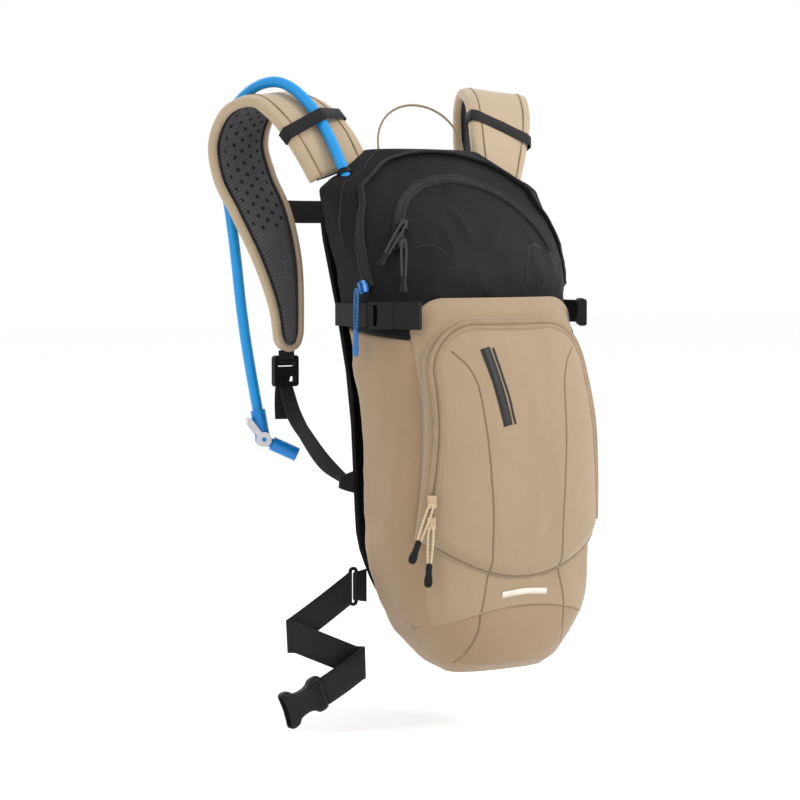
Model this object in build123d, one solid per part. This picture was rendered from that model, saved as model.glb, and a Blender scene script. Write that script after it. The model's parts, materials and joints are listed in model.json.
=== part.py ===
from build123d import *
from math import atan2, copysign, cos, degrees, pi, radians, sin, tan
import os

os.makedirs("parts", exist_ok=True)

# Hydration pack. Millimetres, +Z up, wearer's side +Y, outer face -Y.
# Heights below are measured from the pack's underside; save() moves every part
# so that the origin is the bearing point under the top of the haul loop.

LOOP_Y = 50
LOOP_TOP = 478
PIECE_GAP = 0.4
SKIN = 1.5
WEB_THICK = 1.6
FAR = 300

# Rings of the pack: height, half width, back, front, front roundness,
# and how deep the front panel and the main shell lie behind the pocket's face.
STATIONS = [
    (0, 48, -45, -72, 2.4, 0, 0),
    (10, 62, -26, -88, 2.4, 0, 0),
    (48, 88, -8, -98, 3.0, 1, 2),
    (85, 99, 0, -101, 3.2, 5, 11),
    (114, 103, 5, -102, 3.2, 6.5, 13),
    (194, 105, 5, -100, 3.2, 6.5, 13),
    (274, 105, 20, -86, 2.6, 6.5, 13),
    (306, 107, 28, -72, 2.4, 2.5, 12),
    (338, 109, 37, -56, 2.2, 0, 1),
    (374, 113, 46, -28, 2.0, 0, 0),
    (402, 114, 52, 0, 2.0, 0, 0),
    (420, 88, 53, 15, 2.0, 0, 0),
    (438, 60, 54, 36, 2.0, 0, 0),
]
HALF, BACK, FRONT, ROUND, PANEL_DEPTH, SHELL_DEPTH = 1, 2, 3, 4, 5, 6
BACK_ROUND = 5.0
SEAM_SHARE = 0.35
RING_STEPS = 28

# Shoulder straps: both lie in an upright plane that leaves the pack outward and back.
# Stations: distance along that plane, height, half width, width direction.
STRAP_ROOT = (92, 64)
STRAP_DIRECTION = (0.45, 0.89)
STRAP_STATIONS = [
    (-15, 420, 29, (0.82, 0.0, 0.57)),
    (2, 447, 32, (0.84, 0.15, 0.45)),
    (25, 471, 33, (0.90, 0.25, 0.25)),
    (50, 482, 33, (0.93, 0.30, 0.10)),
    (75, 471, 33, (0.95, 0.25, 0.00)),
    (86, 446, 33, (0.98, 0.15, 0.00)),
    (80, 416, 33, (1.0, 0.05, 0.0)),
    (64, 386, 31, (1.0, 0.0, 0.0)),
    (46, 340, 24, (1.0, 0.0, 0.0)),
    (38, 300, 17, (1.0, 0.0, 0.0)),
    (36, 264, 14, (1.0, 0.0, 0.0)),
]
STRAP_OUTER = (1.9, 5.5)
STRAP_INNER = (-5.5, 1.5)
RIGHT_SPLAY = 10
RIGHT_LIFT = 9

# Drinking tube, from the shell to the valve.
TUBE_DIAMETER = 9.5
TUBE_ROUTE = [
    (-90, 33, 412),
    (-91, 49, 440),
    (-98, 71, 474),
    (-109, 97, 497),
    (-120, 120, 497),
    (-130, 140, 483),
    (-137, 153, 458),
    (-139, 153, 425),
    (-137, 145, 392),
    (-135, 138, 350),
    (-132, 134, 302),
    (-127, 130, 256),
    (-121, 125, 213),
]
INNER_TUBE_ROUTE = [
    (-41.2, -32, 37),
    (-58, -32, 46),
    (-75, -28, 80),
    (-87, -20, 130),
    (-88, -8, 190),
    (-88, 0, 250),
    (-89, 10, 310),
    (-91, 21, 360),
    (-90.3, 31.2, 408),
]

CORD_DIAMETER = 1.8
BELT_WIDTH = 25
BELT_THICK = 1.8


def save(name, *solids):
    shape = solids[0] if len(solids) == 1 else Compound(list(solids))
    export_step(Pos(0, -LOOP_Y, -LOOP_TOP) * shape, f"parts/{name}.step")


def at(height, column):
    for low, high in zip(STATIONS, STATIONS[1:]):
        if low[0] <= height <= high[0]:
            share = (height - low[0]) / (high[0] - low[0])
            return low[column] + share * (high[column] - low[column])
    return STATIONS[-1][column]


def ring(z, half, back, front, power, back_power=BACK_ROUND):
    seam = back - SEAM_SHARE * (back - front)
    points = []
    for step in range(RING_STEPS):
        angle = 2 * pi * (step + 0.5) / RING_STEPS
        c, s = cos(angle), sin(angle)
        order = back_power if s > 0 else power
        reach = back - seam if s > 0 else seam - front
        x = half * copysign(abs(c) ** (2 / order), c)
        y = seam + reach * copysign(abs(s) ** (2 / order), s)
        points.append(Vector(x, y, z))
    return Wire.make_polygon(points, close=True)


def body(depth=0.0, column=None, inset=0.0):
    """The pack's closed form, with its front set back by depth and a station column."""
    wires = []
    for index, row in enumerate(STATIONS):
        z = row[0]
        if index == 0:
            z += inset
        if index == len(STATIONS) - 1:
            z -= inset
        recess = row[column] if column else 0
        front = row[FRONT] + recess + depth + inset
        wires.append(ring(z, row[HALF] - inset, row[BACK] - inset, front, row[ROUND]))
    return Solid.make_loft(wires, ruled=True)


def front_prism(sketch_face, near=-160, far=-30):
    """A prism along Y on an outline drawn in X and Z."""
    return extrude(Pos(0, far, 0) * sketch_face, amount=far - near, dir=(0, -1, 0))


def outline(half_low, half_high, low, high, corner, drop):
    """Arch outline in X and Z: straight sides, rounded shoulders, curved underside."""
    plan = Polyline(
        (-half_low, low + drop),
        (-half_high, high),
        (half_high, high),
        (half_low, low + drop),
    )
    under = ThreePointArc((half_low, low + drop), (0, low), (-half_low, low + drop))
    face = make_face(plan + under)
    top = face.vertices().sort_by(Axis.Y)[-2:]
    return Plane.XZ * fillet(top, corner)


def side_slab(points, thick):
    """A slab across the full width whose trace in Y and Z follows the points."""
    line = Polyline(*points)
    return extrude(Plane.YZ * trace(line, thick), amount=FAR / 2, both=True)


def back_sheet(near, far, low, high):
    """A sheet that follows the curve of the back, between two distances behind it."""
    heights = [low] + [row[0] for row in STATIONS if low < row[0] < high] + [high]
    inner = [(at(z, BACK) + near, z) for z in heights]
    outer = [(at(z, BACK) + far, z) for z in reversed(heights)]
    trace_face = make_face(Polyline(*inner, *outer, close=True))
    return extrude(Plane.YZ * trace_face, amount=FAR / 2, both=True)


def tube(route, diameter, label):
    radii = []
    for before, here, after in zip(route, route[1:], route[2:]):
        into, out = Vector(here) - Vector(before), Vector(after) - Vector(here)
        turn = radians(into.get_angle(out))
        radii.append(0.45 * min(into.length, out.length) / tan(turn / 2))
    path = FilletPolyline(*route, radius=radii)
    profile = Plane(origin=path @ 0, z_dir=path % 0) * Circle(diameter / 2)
    solid = sweep(profile, path=path)
    expected = path.length * pi * diameter**2 / 4
    print(label, "length", round(path.length, 1), "volume ratio", round(solid.volume / expected, 4))
    print(label, "radii", [round(r, 1) for r in radii])
    return solid


def plate(centre, size, along=0.0, about=Axis.Z):
    """A rectangular plate at a point, turned about an axis through it."""
    return Pos(*centre) * Box(*size).rotate(about, along)


def rounded_plate(centre, width, height, thick, corner):
    """A plate that faces -Y."""
    face = Plane.XZ * RectangleRounded(width, height, corner)
    return Pos(*centre) * extrude(face, amount=thick / 2, both=True)


def mirrored(shape):
    return shape.mirror(Plane.YZ)


def biggest(shape):
    return shape.solids().sort_by(SortBy.VOLUME)[-1]


def toward(start, end, size):
    """A plate whose first size runs from start to end in the X and Y plane."""
    way = Vector(*end) - Vector(*start)
    middle = (Vector(*start) + Vector(*end)) * 0.5
    turn = degrees(atan2(way.Y, way.X))
    return Pos(middle.X, middle.Y, middle.Z) * Box(*size).rotate(Axis.Z, turn)


# ---------------------------------------------------------------- pack body

def stash_outline(trim):
    return outline(96 - trim, 86 - trim, 64 + trim, 313 - trim, 30, 22)


def pocket_outline(trim):
    return outline(95 - trim, 85 - trim, 80 + trim, 297 - trim, 46, 36)


def tray(face, skin, under, shape, hollow):
    """A soft pocket wall: a skin on top with side walls down to what it is sewn to."""
    whole = (face & front_prism(shape)) - (under & front_prism(shape))
    return whole - (skin & front_prism(hollow))


pocket_face = body()
pocket_skin = body(depth=SKIN)
panel_under = body(depth=-PIECE_GAP, column=PANEL_DEPTH)
panel_face = body(column=PANEL_DEPTH)
panel_skin = body(depth=SKIN, column=PANEL_DEPTH)
shell_under = body(depth=-PIECE_GAP, column=SHELL_DEPTH)
shell_face = body(column=SHELL_DEPTH)
shell_inside = body(column=SHELL_DEPTH, inset=SKIN)

front_pocket = tray(pocket_face, pocket_skin, panel_under, pocket_outline(0), pocket_outline(3))
STASH_MOUTH = Pos(0, -95, 330) * Box(150, 130, 60)
stash_hollow = panel_skin & (front_prism(stash_outline(3)) + STASH_MOUTH)
stash_prism = front_prism(stash_outline(0))
stash_panel = (panel_face & stash_prism) - (shell_under & stash_prism)
stash_panel = stash_panel - stash_hollow

above_pocket_ends = Pos(0, 0, 120 + FAR / 2) * Box(FAR, FAR * 2, FAR)
pocket_slit = (front_prism(pocket_outline(4)) - front_prism(pocket_outline(9))) & above_pocket_ends
front_pocket = front_pocket - pocket_slit

save("front_pocket", biggest(front_pocket))
save("stash_panel", biggest(stash_panel))

# The shell is cut into a dark upper part and a lower tub on a seam that falls to the front.
SEAM_LINE = [(80, 296), (-140, 268)]
RESERVOIR_ZIP_LINE = [(-24, 315), (6, 390), (40, 446)]
SLIT = 5.0
ZIP_WIDTH = 9.0
ZIP_LOW, ZIP_HIGH = 0.5, 2.0
# The main zip runs on an ellipse: half width, rise, centre height, where its ends lie.
ARCH_HALF, ARCH_RISE, ARCH_FOOT, ARCH_LOW, ARCH_FAR = 82, 75, 338, 352, 25
MAIN_SLIT_LOW = 362
RESERVOIR_BAND_LOW, RESERVOIR_SLIT_LOW = 322, 334
EXIT_SPOT, EXIT_SIZE = (-90.5, 35, 411), (17, 22, 24)

shell = shell_face - shell_inside
seam_cut = side_slab(SEAM_LINE, PIECE_GAP)
halves = (shell - seam_cut).solids().sort_by(Axis.Z)
lower_shell, upper_shell = halves[0], halves[-1]


def zip_band(line, width, low_z):
    """The strip where an upright slab meets the pack, above a height."""
    keep = Pos(0, 0, low_z + FAR / 2) * Box(FAR, FAR, FAR)
    return side_slab(line, width) & keep


def zip_arch(width):
    """The strip under the main zip's arch, which spans the upper front."""
    outer = Ellipse(ARCH_HALF + width / 2, ARCH_RISE + width / 2)
    inner = Ellipse(ARCH_HALF - width / 2, ARCH_RISE - width / 2)
    strip = Plane.XZ * (Pos(0, ARCH_FOOT) * (outer - inner))
    keep = Pos(0, 0, ARCH_LOW + FAR / 2) * Box(FAR, FAR, FAR)
    return front_prism(strip, far=ARCH_FAR) & keep


main_band = zip_arch(ZIP_WIDTH)
reservoir_band = zip_band(RESERVOIR_ZIP_LINE, ZIP_WIDTH, RESERVOIR_BAND_LOW)
main_slit = zip_arch(SLIT) & (Pos(0, 0, MAIN_SLIT_LOW + FAR / 2) * Box(FAR, FAR, FAR))
reservoir_slit = zip_band(RESERVOIR_ZIP_LINE, SLIT, RESERVOIR_SLIT_LOW)
exit_hole = Pos(*EXIT_SPOT) * Box(*EXIT_SIZE)
upper_shell = biggest(upper_shell - main_slit - reservoir_slit - exit_hole)

save("lower_shell", lower_shell)
save("upper_shell", upper_shell)

zip_outer = body(inset=-ZIP_HIGH)
zip_inner = body(inset=-ZIP_LOW)
black_tapes = [
    biggest((zip_outer & main_band) - zip_inner),
    biggest((zip_outer & reservoir_band) - zip_inner),
]
save("black_zippers", *black_tapes)

pocket_band = (front_prism(pocket_outline(2)) - front_prism(pocket_outline(11))) & above_pocket_ends
pocket_tape = (body(depth=-ZIP_HIGH) & pocket_band) - body(depth=-ZIP_LOW)
save("pocket_zipper", biggest(pocket_tape))

# ---------------------------------------------------------------- back panel and pads

PANEL_NEAR, PANEL_FAR = 1.0, 6.5
PANEL_LOW, PANEL_HIGH = 24, 437
panel_edge = [(row[HALF] - 3, row[0]) for row in STATIONS if row[0] > 20]
right_edge = Spline(*panel_edge[:-4])
shoulder = Polyline(*panel_edge[-5:])
left_edge = Spline(*[(-x, z) for x, z in panel_edge[:-4]])
left_shoulder = Polyline(*[(-x, z) for x, z in panel_edge[-5:]])
top_edge = Line(shoulder @ 1, left_shoulder @ 1)
foot_edge = ThreePointArc(left_edge @ 0, (0, 30), right_edge @ 0)
house = Plane.XZ * make_face([right_edge, shoulder, top_edge, left_shoulder, left_edge, foot_edge])
house_prism = extrude(house, amount=FAR / 2, both=True)
back_panel = biggest(back_sheet(PANEL_NEAR, PANEL_FAR, PANEL_LOW, PANEL_HIGH) & house_prism)
save("back_panel", back_panel)

PAD_THICK = 8
PAD_LOW, PAD_HIGH = 50, 340
PAD_ROWS = [(102, 84), (196, 80), (288, 84)]
PAD_WIDTH, PAD_OFFSET, PAD_CORNER = 66, 45, 16
pad_near = PANEL_FAR + PIECE_GAP
pad_layer = back_sheet(pad_near, pad_near + PAD_THICK, PAD_LOW, PAD_HIGH)
pads = []
for height, length in PAD_ROWS:
    pad_outline = rounded_plate((0, 0, 0), PAD_WIDTH, length, FAR, PAD_CORNER)
    pads += [pad_layer & (Pos(side * PAD_OFFSET, 0, height) * pad_outline) for side in (-1, 1)]
save("back_pads", *pads)

# ---------------------------------------------------------------- reservoir and what it feeds

# Height, half width and thickness.
BAG_STATIONS = [
    (52, 40, 10),
    (72, 66, 24),
    (120, 75, 30),
    (200, 77, 32),
    (274, 74, 28),
    (326, 58, 20),
    (350, 34, 8),
]
BAG_GAP = 4
bag_rings = []
for height, half, thick in BAG_STATIONS:
    rear = at(height, BACK) - BAG_GAP
    bag_rings.append(ring(height, half, rear, rear - thick, 2.4, 2.4))
reservoir_bag = Solid.make_loft(bag_rings, ruled=True)
save("reservoir_bag", reservoir_bag)

FILL_HEIGHT = 262
FILL_Y = -10
COLLAR_RADIUS, COLLAR_BORE, COLLAR_LENGTH = 27, 22, 17
CAP_RADIUS, CAP_LENGTH = 31, 9
GRIP_LENGTH, GRIP_RISE = 34, 3
PORT_Y, PORT_Z = -32, 36
facing_front = Plane(origin=(0, FILL_Y, FILL_HEIGHT), x_dir=(1, 0, 0), z_dir=(0, -1, 0))
collar = facing_front * extrude(Circle(COLLAR_RADIUS) - Circle(COLLAR_BORE), amount=COLLAR_LENGTH)
port_stub = Pos(0, PORT_Y, PORT_Z + 7.5) * Cylinder(6, 15)
port_nozzle = Pos(-8, PORT_Y, PORT_Z) * Cylinder(5, 16, rotation=(0, 90, 0))
save("bag_fittings", biggest(collar - reservoir_bag), biggest(port_stub + port_nozzle))

cap_plane = facing_front.offset(COLLAR_LENGTH + PIECE_GAP)
cap_skirt = extrude(Circle(CAP_RADIUS), amount=CAP_LENGTH)
cap_grip = Pos(0, 0, CAP_LENGTH + GRIP_RISE / 2) * Box(GRIP_LENGTH, 9, GRIP_RISE)
cap_plug = Pos(0, 0, -3) * Cylinder(COLLAR_BORE - 1, 6)
save("reservoir_cap", cap_plane * (cap_skirt + cap_grip + cap_plug))

COUPLER_X = -27.2
coupler = Pos(COUPLER_X, PORT_Y, PORT_Z) * Cylinder(8.5, 22, rotation=(0, 90, 0))
button_well = Pos(COUPLER_X, PORT_Y - 8, PORT_Z) * Box(8.8, 9, 8.8)
save("hose_coupler", biggest(coupler - button_well))
button = Pos(COUPLER_X, PORT_Y - 8.4, PORT_Z) * Box(8, 5, 8)
save("coupler_button", button)

inner_tube = tube(INNER_TUBE_ROUTE, TUBE_DIAMETER, "inner tube")
save("inner_tube", inner_tube)
save("drinking_tube", tube(TUBE_ROUTE, TUBE_DIAMETER, "drinking tube"))

# Y and Z of the wall between the main and the reservoir compartments.
DIVIDER_LINE = [
    (-54, 40),
    (-52, 114),
    (-51, 194),
    (-46, 262),
    (-36, 300),
    (-14, 345),
    (2, 385),
    (20, 422),
]
divider = side_slab(DIVIDER_LINE, SKIN) & body(column=SHELL_DEPTH, inset=SKIN + PIECE_GAP)
save("reservoir_divider", biggest(divider))

tube_start = Vector(*TUBE_ROUTE[0])
tube_way = (Vector(*TUBE_ROUTE[1]) - tube_start).normalized()
grommet_plane = Plane(origin=tube_start + tube_way * 7, z_dir=tube_way)
save("tube_exit_port", grommet_plane * (Cylinder(6.6, 4) - Cylinder(TUBE_DIAMETER / 2 + 0.3, 4)))

# ---------------------------------------------------------------- shoulder harness

def strap_centre(station, splay, lift):
    """Centre of a left strap station, stood further out and higher where asked."""
    along, height = station[0], station[1]
    rise = max(0.0, min(1.0, (height - 420) / 40))
    spread = max(0.0, min(1.0, (along + 15) / 30))
    x = STRAP_ROOT[0] + STRAP_DIRECTION[0] * along + splay * spread
    return Vector(-x, STRAP_ROOT[1] + STRAP_DIRECTION[1] * along, height + lift * rise)


def strap_frames(splay, lift):
    """Centre, width, outward direction and half width at each left strap station."""
    centres = [strap_centre(station, splay, lift) for station in STRAP_STATIONS]
    frames = []
    for index, station in enumerate(STRAP_STATIONS):
        before = centres[max(index - 1, 0)]
        after = centres[min(index + 1, len(centres) - 1)]
        tangent = (after - before).normalized()
        width = Vector(*station[3])
        width = (width - tangent * width.dot(tangent)).normalized()
        frames.append((centres[index], width, width.cross(tangent), station[2]))
    return frames


# Nothing of a strap lies in this block, so that the harness can swing on its hinge.
ROOT_CLEARANCE = Pos(0, 62 - FAR / 2, 441 - FAR / 2) * Box(FAR, FAR, FAR)


def strap_layer(frames, low, high):
    """One layer of a shoulder strap, between two distances from its middle surface."""
    sections = []
    for centre, width, outward, half in frames:
        corners = []
        for u, v in ((-half, low), (half, low), (half, high), (-half, high)):
            corners.append(centre + width * u + outward * v)
        sections.append(Wire.make_polygon(corners, close=True))
    layer = Solid.make_loft(sections[:2], ruled=True)
    for lower, upper in zip(sections[1:], sections[2:]):
        layer = layer + Solid.make_loft([lower, upper], ruled=True)
    return layer - ROOT_CLEARANCE


def strap_band(frames, top):
    """Elastic band round the rising part of a strap, with room up to top above it."""
    low, high = frames[1], frames[2]
    centre = (low[0] + high[0]) * 0.5
    width = (low[1] + high[1]).normalized()
    outward = (low[2] + high[2]).normalized()
    frame = Plane(origin=centre, x_dir=width, z_dir=width.cross(outward))
    middle = (top - BAND_UNDER) / 2
    deep = top + BAND_UNDER
    hole = Pos(0, middle, 0) * Box(2 * BAND_HALF, deep, BAND_LENGTH)
    wrap = Pos(0, middle, 0) * Box(2 * BAND_HALF + 2.4, deep + 2.4, BAND_LENGTH)
    return frame * (wrap - hole)


BAND_HALF, BAND_UNDER, BAND_LENGTH = 35.2, 7.2, 13
left_frames = strap_frames(0, 0)
right_frames = strap_frames(RIGHT_SPLAY, RIGHT_LIFT)
for frames, word in ((left_frames, "left"), (right_frames, "right")):
    shell_layer = strap_layer(frames, *STRAP_OUTER)
    mesh_layer = strap_layer(frames, *STRAP_INNER)
    if word == "right":
        shell_layer, mesh_layer = mirrored(shell_layer), mirrored(mesh_layer)
    save(f"strap_shell_{word}", shell_layer)
    save(f"strap_mesh_{word}", mesh_layer)

left_band = strap_band(left_frames, 18.2)
right_band = mirrored(strap_band(right_frames, BAND_UNDER))
save("tube_bands", left_band, right_band)

LOCK_X, LOCK_Y, LOCK_Z = 111, 96.5, 248
LOCK_SLOT = (18, 10, 4.5)
lock = rounded_plate((-LOCK_X, LOCK_Y, LOCK_Z), 25, 27, 5, 3)
for rise in (-7, 6):
    lock = lock - Pos(-LOCK_X, LOCK_Y, LOCK_Z + rise) * Box(*LOCK_SLOT)
save("ladder_locks", lock, Pos(RIGHT_SPLAY, 0, 0) * mirrored(lock))

# Webbing from each ladder lock down to a tab on the edge of the back panel.
LOWER_WEB_WIDTH = 14
lower_path = Spline((97, 232.5), (85, 213), (62, 191), (36, 172), (9.5, 160))
lower_face = Plane.YZ * trace(lower_path, WEB_THICK)
lower_web = Pos(-110.2, 0, 0) * extrude(lower_face, amount=LOWER_WEB_WIDTH / 2, both=True)
save("lower_webbing_left", lower_web)
save("lower_webbing_right", Pos(4, 0, 0) * mirrored(lower_web))
tab = plate((-110, 5.5, 158), (15, 2.4, 18))
save("strap_anchor_tabs", tab, mirrored(tab))


def socket(length, thick, width):
    """Female half of a side-release buckle: mouth at x = 0, webbing end at +length."""
    shell_box = Pos(length / 2, 0, 0) * Box(length, thick, width)
    shell_box = fillet(shell_box.edges().filter_by(Axis.X), thick * 0.3)
    bore = Pos(length * 0.35, 0, 0) * Box(length * 0.7, thick - 3, width - 5)
    windows = Pos(length * 0.45, 0, 0) * Box(length * 0.28, thick - 3.2, width + 2)
    return shell_box - bore - windows


def plug(length, thick, width, reach):
    """Male half: body behind x = 0, a tongue and two prongs reaching forward."""
    block = Pos(-length / 2 - PIECE_GAP, 0, 0) * Box(length, thick, width)
    block = fillet(block.edges().filter_by(Axis.X), thick * 0.3)
    slot = Pos(-length * 0.72, 0, 0) * Box(3.5, thick + 2, width - 6)
    tongue_thick = thick - 3.8
    fingers = Pos(reach / 2 - 2, 0, 0) * Box(reach + 4, tongue_thick, 3)
    for side in (-1, 1):
        prong = Box(reach + 4, tongue_thick, 2.6)
        fingers = fingers + Pos(reach / 2 - 2, 0, side * (width / 2 - 4.6)) * prong
    return block - slot + fingers


STERNUM_Y, STERNUM_Z = 134, 386
STERNUM_WIDTH = 20
facing_left = Plane(origin=(8, STERNUM_Y, STERNUM_Z), x_dir=(-1, 0, 0), z_dir=(0, 0, 1))
save("sternum_socket", facing_left * socket(28, 8.5, 26))
save("sternum_plug", biggest(facing_left * plug(20, 8.5, 26, 16)))
sternum_web = plate((-72.5, STERNUM_Y, STERNUM_Z), (103, WEB_THICK, STERNUM_WIDTH))
save("sternum_webbing_left", sternum_web)
save("sternum_webbing_right", plate((82, STERNUM_Y, STERNUM_Z), (106, WEB_THICK, STERNUM_WIDTH)))

# Compression straps: from the back panel's edge round the side to the stash panel's corner.
COMPRESSION_Z = 299
COMPRESSION_MOUTH = (-99.5, -49.5)
COMPRESSION_WAY = (0.6, -0.8)
mouth_plane = Plane(
    origin=(*COMPRESSION_MOUTH, COMPRESSION_Z),
    x_dir=(*COMPRESSION_WAY, 0),
    z_dir=(0, 0, 1),
)
compression_socket = mouth_plane * socket(22, 7.5, 23)
compression_plug = biggest(mouth_plane * plug(22, 7.5, 23, 12))
plug_end = Vector(*COMPRESSION_MOUTH) - Vector(*COMPRESSION_WAY) * 23.5
compression_web = toward(
    (plug_end.X, plug_end.Y, COMPRESSION_Z),
    (-113, 16, COMPRESSION_Z),
    (45, WEB_THICK, 20),
)
save("compression_sockets", compression_socket, mirrored(compression_socket))
for word, shape in (("left", compression_plug), ("right", mirrored(compression_plug))):
    save(f"compression_plug_{word}", shape)
for word, shape in (("left", compression_web), ("right", mirrored(compression_web))):
    save(f"compression_webbing_{word}", shape)

# ---------------------------------------------------------------- waist belt

# The tab stops short of the ring, so that the ring can turn about its inner bar.
BELT_TAB_X, BELT_TAB_REACH, BELT_Z = 97.15, 1.9, 70
belt_tab = plate((-BELT_TAB_X, 3, BELT_Z), (BELT_TAB_REACH, 2.4, 24))
save("belt_tabs", belt_tab, mirrored(belt_tab))
belt_ring = Pos(-105, 3, BELT_Z) * (Box(8, 4, 34) - Box(3.6, 6, 27))


def belt_run(start, end, y):
    """A length of webbing on edge, between two points given in X and Z."""
    way = Vector(end[0] - start[0], 0, end[1] - start[1])
    tilt = degrees(atan2(way.Z, way.X))
    middle = ((start[0] + end[0]) / 2, y, (start[1] + end[1]) / 2)
    return plate(middle, (way.length, BELT_THICK, BELT_WIDTH), -tilt, Axis.Y)


# The left half hangs in three folded runs, one in front of the other.
LEFT_RUNS = [
    ((-109, 68), (-168, 34), 3),
    ((-172, 33), (-104, 8), -4),
    ((-104, 5), (-142, -12), -11),
]
left_belt = belt_run(*LEFT_RUNS[0])
for run in LEFT_RUNS[1:]:
    left_belt = left_belt + belt_run(*run)
left_belt = left_belt + plate((-168, -0.5, 34), (BELT_THICK, 8.8, BELT_WIDTH))
left_belt = left_belt + plate((-106, -7.5, 6), (BELT_THICK, 8.8, BELT_WIDTH - 4))
save("belt_webbing_left", left_belt + belt_ring)
BELT_SOCKET_LENGTH = 42
socket_plane = Plane(origin=(-184, -11, -27), x_dir=(0.93, 0, 0.35), z_dir=(-0.35, 0, 0.93))
save("belt_socket", socket_plane * socket(BELT_SOCKET_LENGTH - 1, 11, 33))

# The right half lies folded behind the pack.
RIGHT_RUNS = [(101.5, 6.5, 78), (96.5, 24, 78), (90.7, 24, 52)]
right_belt = plate((103, 6.5, BELT_Z), (4.8, BELT_THICK, BELT_WIDTH))
for x, low_y, high_y in RIGHT_RUNS:
    run_size = (BELT_THICK, high_y - low_y, BELT_WIDTH)
    right_belt = right_belt + plate((x, (low_y + high_y) / 2, BELT_Z), run_size)
right_belt = right_belt + plate((99, 78, BELT_Z), (6.8, BELT_THICK, BELT_WIDTH))
right_belt = right_belt + plate((94, 24, BELT_Z), (6.8, BELT_THICK, BELT_WIDTH))
save("belt_webbing_right", right_belt + mirrored(belt_ring))
plug_plane = Plane(origin=(90.7, 78, BELT_Z), x_dir=(0, 1, 0), z_dir=(0, 0, 1))
save("belt_plug", biggest(plug_plane * plug(24, 8.5, 31, 18)))

# ---------------------------------------------------------------- haul loop

LOOP_FOOT, LOOP_HALF, LOOP_WIDTH = 438.8, 45, 14
loop_rise = LOOP_TOP - LOOP_FOOT
loop_outer = Ellipse(LOOP_HALF + WEB_THICK, loop_rise + WEB_THICK)
loop_band = (loop_outer - Ellipse(LOOP_HALF, loop_rise)) & (Pos(0, FAR / 2) * Rectangle(FAR, FAR))
haul_loop = extrude(Plane.XZ * loop_band, amount=LOOP_WIDTH / 2, both=True)
save("haul_loop", Pos(0, LOOP_Y - 1, LOOP_FOOT) * haul_loop)

# ---------------------------------------------------------------- sliders and pulls

SLIDER_SIZE = (10, 7, 3)
# Half spread of a pull cord's two strands, against the distance below its bail.
PULL_PROFILE = [(0.0, 1.5), (3.2, 1.9), (9.0, 2.2)]
PULL_MIDDLE_SPREAD, PULL_FOOT_SPREAD = 2.0, 1.4
# Name, slider centre, track direction, outward direction, cord's foot, tip length.
PULLS = [
    ("reservoir", (-113, -22, 322), (-0.09, 0.37, 0.92), (-1, 0, 0), (-119.5, -22, 288), 23),
    ("main_upper", (-73, -25, 374), (0.45, 0.47, 0.76), (-0.26, -0.76, 0.59), (-96, -33, 350), 13),
    ("main_lower", (-81, -34, 358), (0.45, 0.47, 0.76), (-0.26, -0.76, 0.59), (-91, -50, 331), 15),
    ("pocket_upper", (-91, -89.5, 148), (0.035, 0.05, 1), (-0.63, -0.777, 0), (-103, -88, 117), 20),
    ("pocket_lower", (-91.5, -89.5, 130), (0.035, 0.05, 1), (-0.63, -0.777, 0), (-95, -91, 98), 20),
]
TIP_WIDTH, TIP_THICK = 7, 4
BAIL_LIFT = 3.4


def slider_body(centre, track, outward):
    frame = Plane(origin=centre, x_dir=track, z_dir=outward)
    base = Box(*SLIDER_SIZE)
    post = Pos(3, 0, 2.2) * Box(2, 2, 1.6)
    bridge = Pos(0.4, 0, 3.2) * Box(7, 2, 1)
    foot = Pos(-2.6, 0, 2.2) * Box(1, 2, 1.6)
    return frame * (base + post + bridge + foot)


def pull_route(head, foot, across):
    """Both strands of a pull cord: up one side to the head and down the other."""
    down = Vector(*foot) - Vector(*head)
    length = down.length
    down = down.normalized()
    rows = PULL_PROFILE + [((9.0 + length) / 2, PULL_MIDDLE_SPREAD), (length, PULL_FOOT_SPREAD)]
    up_side = [Vector(*head) + down * s - across * w for s, w in reversed(rows)]
    down_side = [Vector(*head) + down * s + across * w for s, w in rows]
    return [(p.X, p.Y, p.Z) for p in up_side + down_side]


for name, centre, track, outward, foot, tip_length in PULLS:
    outward = Vector(*outward).normalized()
    track = (Vector(*track) - outward * Vector(*track).dot(outward)).normalized()
    save(f"{name}_slider", slider_body(Vector(*centre), track, outward))
    head = Vector(*centre) + outward * (BAIL_LIFT + 3) - track * 1.5
    down = (Vector(*foot) - head).normalized()
    across = down.cross(outward).normalized()
    route = pull_route(tuple(head), foot, across)
    save(f"{name}_cord", tube(route, CORD_DIAMETER, f"{name} cord"))
    tip_frame = Plane(origin=Vector(*foot) + down * (tip_length / 2 + 0.15), x_dir=across, z_dir=down)
    tip = fillet(Box(TIP_WIDTH, TIP_THICK, tip_length).edges().filter_by(Axis.Z), 1.2)
    save(f"{name}_tip", tip_frame * tip)

# ---------------------------------------------------------------- bite valve

VALVE_TOP = Vector(*TUBE_ROUTE[-1])
tube_end = (VALVE_TOP - Vector(*TUBE_ROUTE[-2])).normalized()
elbow_point = VALVE_TOP + tube_end * 26
outlet = Vector(0.80, -0.42, -0.42).normalized()
barrel = Plane(origin=VALVE_TOP, z_dir=tube_end) * Pos(0, 0, 13) * Cylinder(6.5, 26)
knee = Pos(elbow_point.X, elbow_point.Y, elbow_point.Z) * Sphere(6.5)
nozzle = Plane(origin=elbow_point, z_dir=outlet) * Pos(0, 0, 7) * Cylinder(4.2, 14)
boss_plane = Plane(origin=elbow_point, x_dir=tube_end, z_dir=outlet.cross(tube_end))
pin = boss_plane * Pos(0, 0, -4.5) * Cylinder(2, 9)
pin_other = boss_plane * Pos(0, 0, 4.5) * Cylinder(2, 9)
save("valve_elbow", biggest(barrel + knee + nozzle + pin + pin_other))

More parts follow.
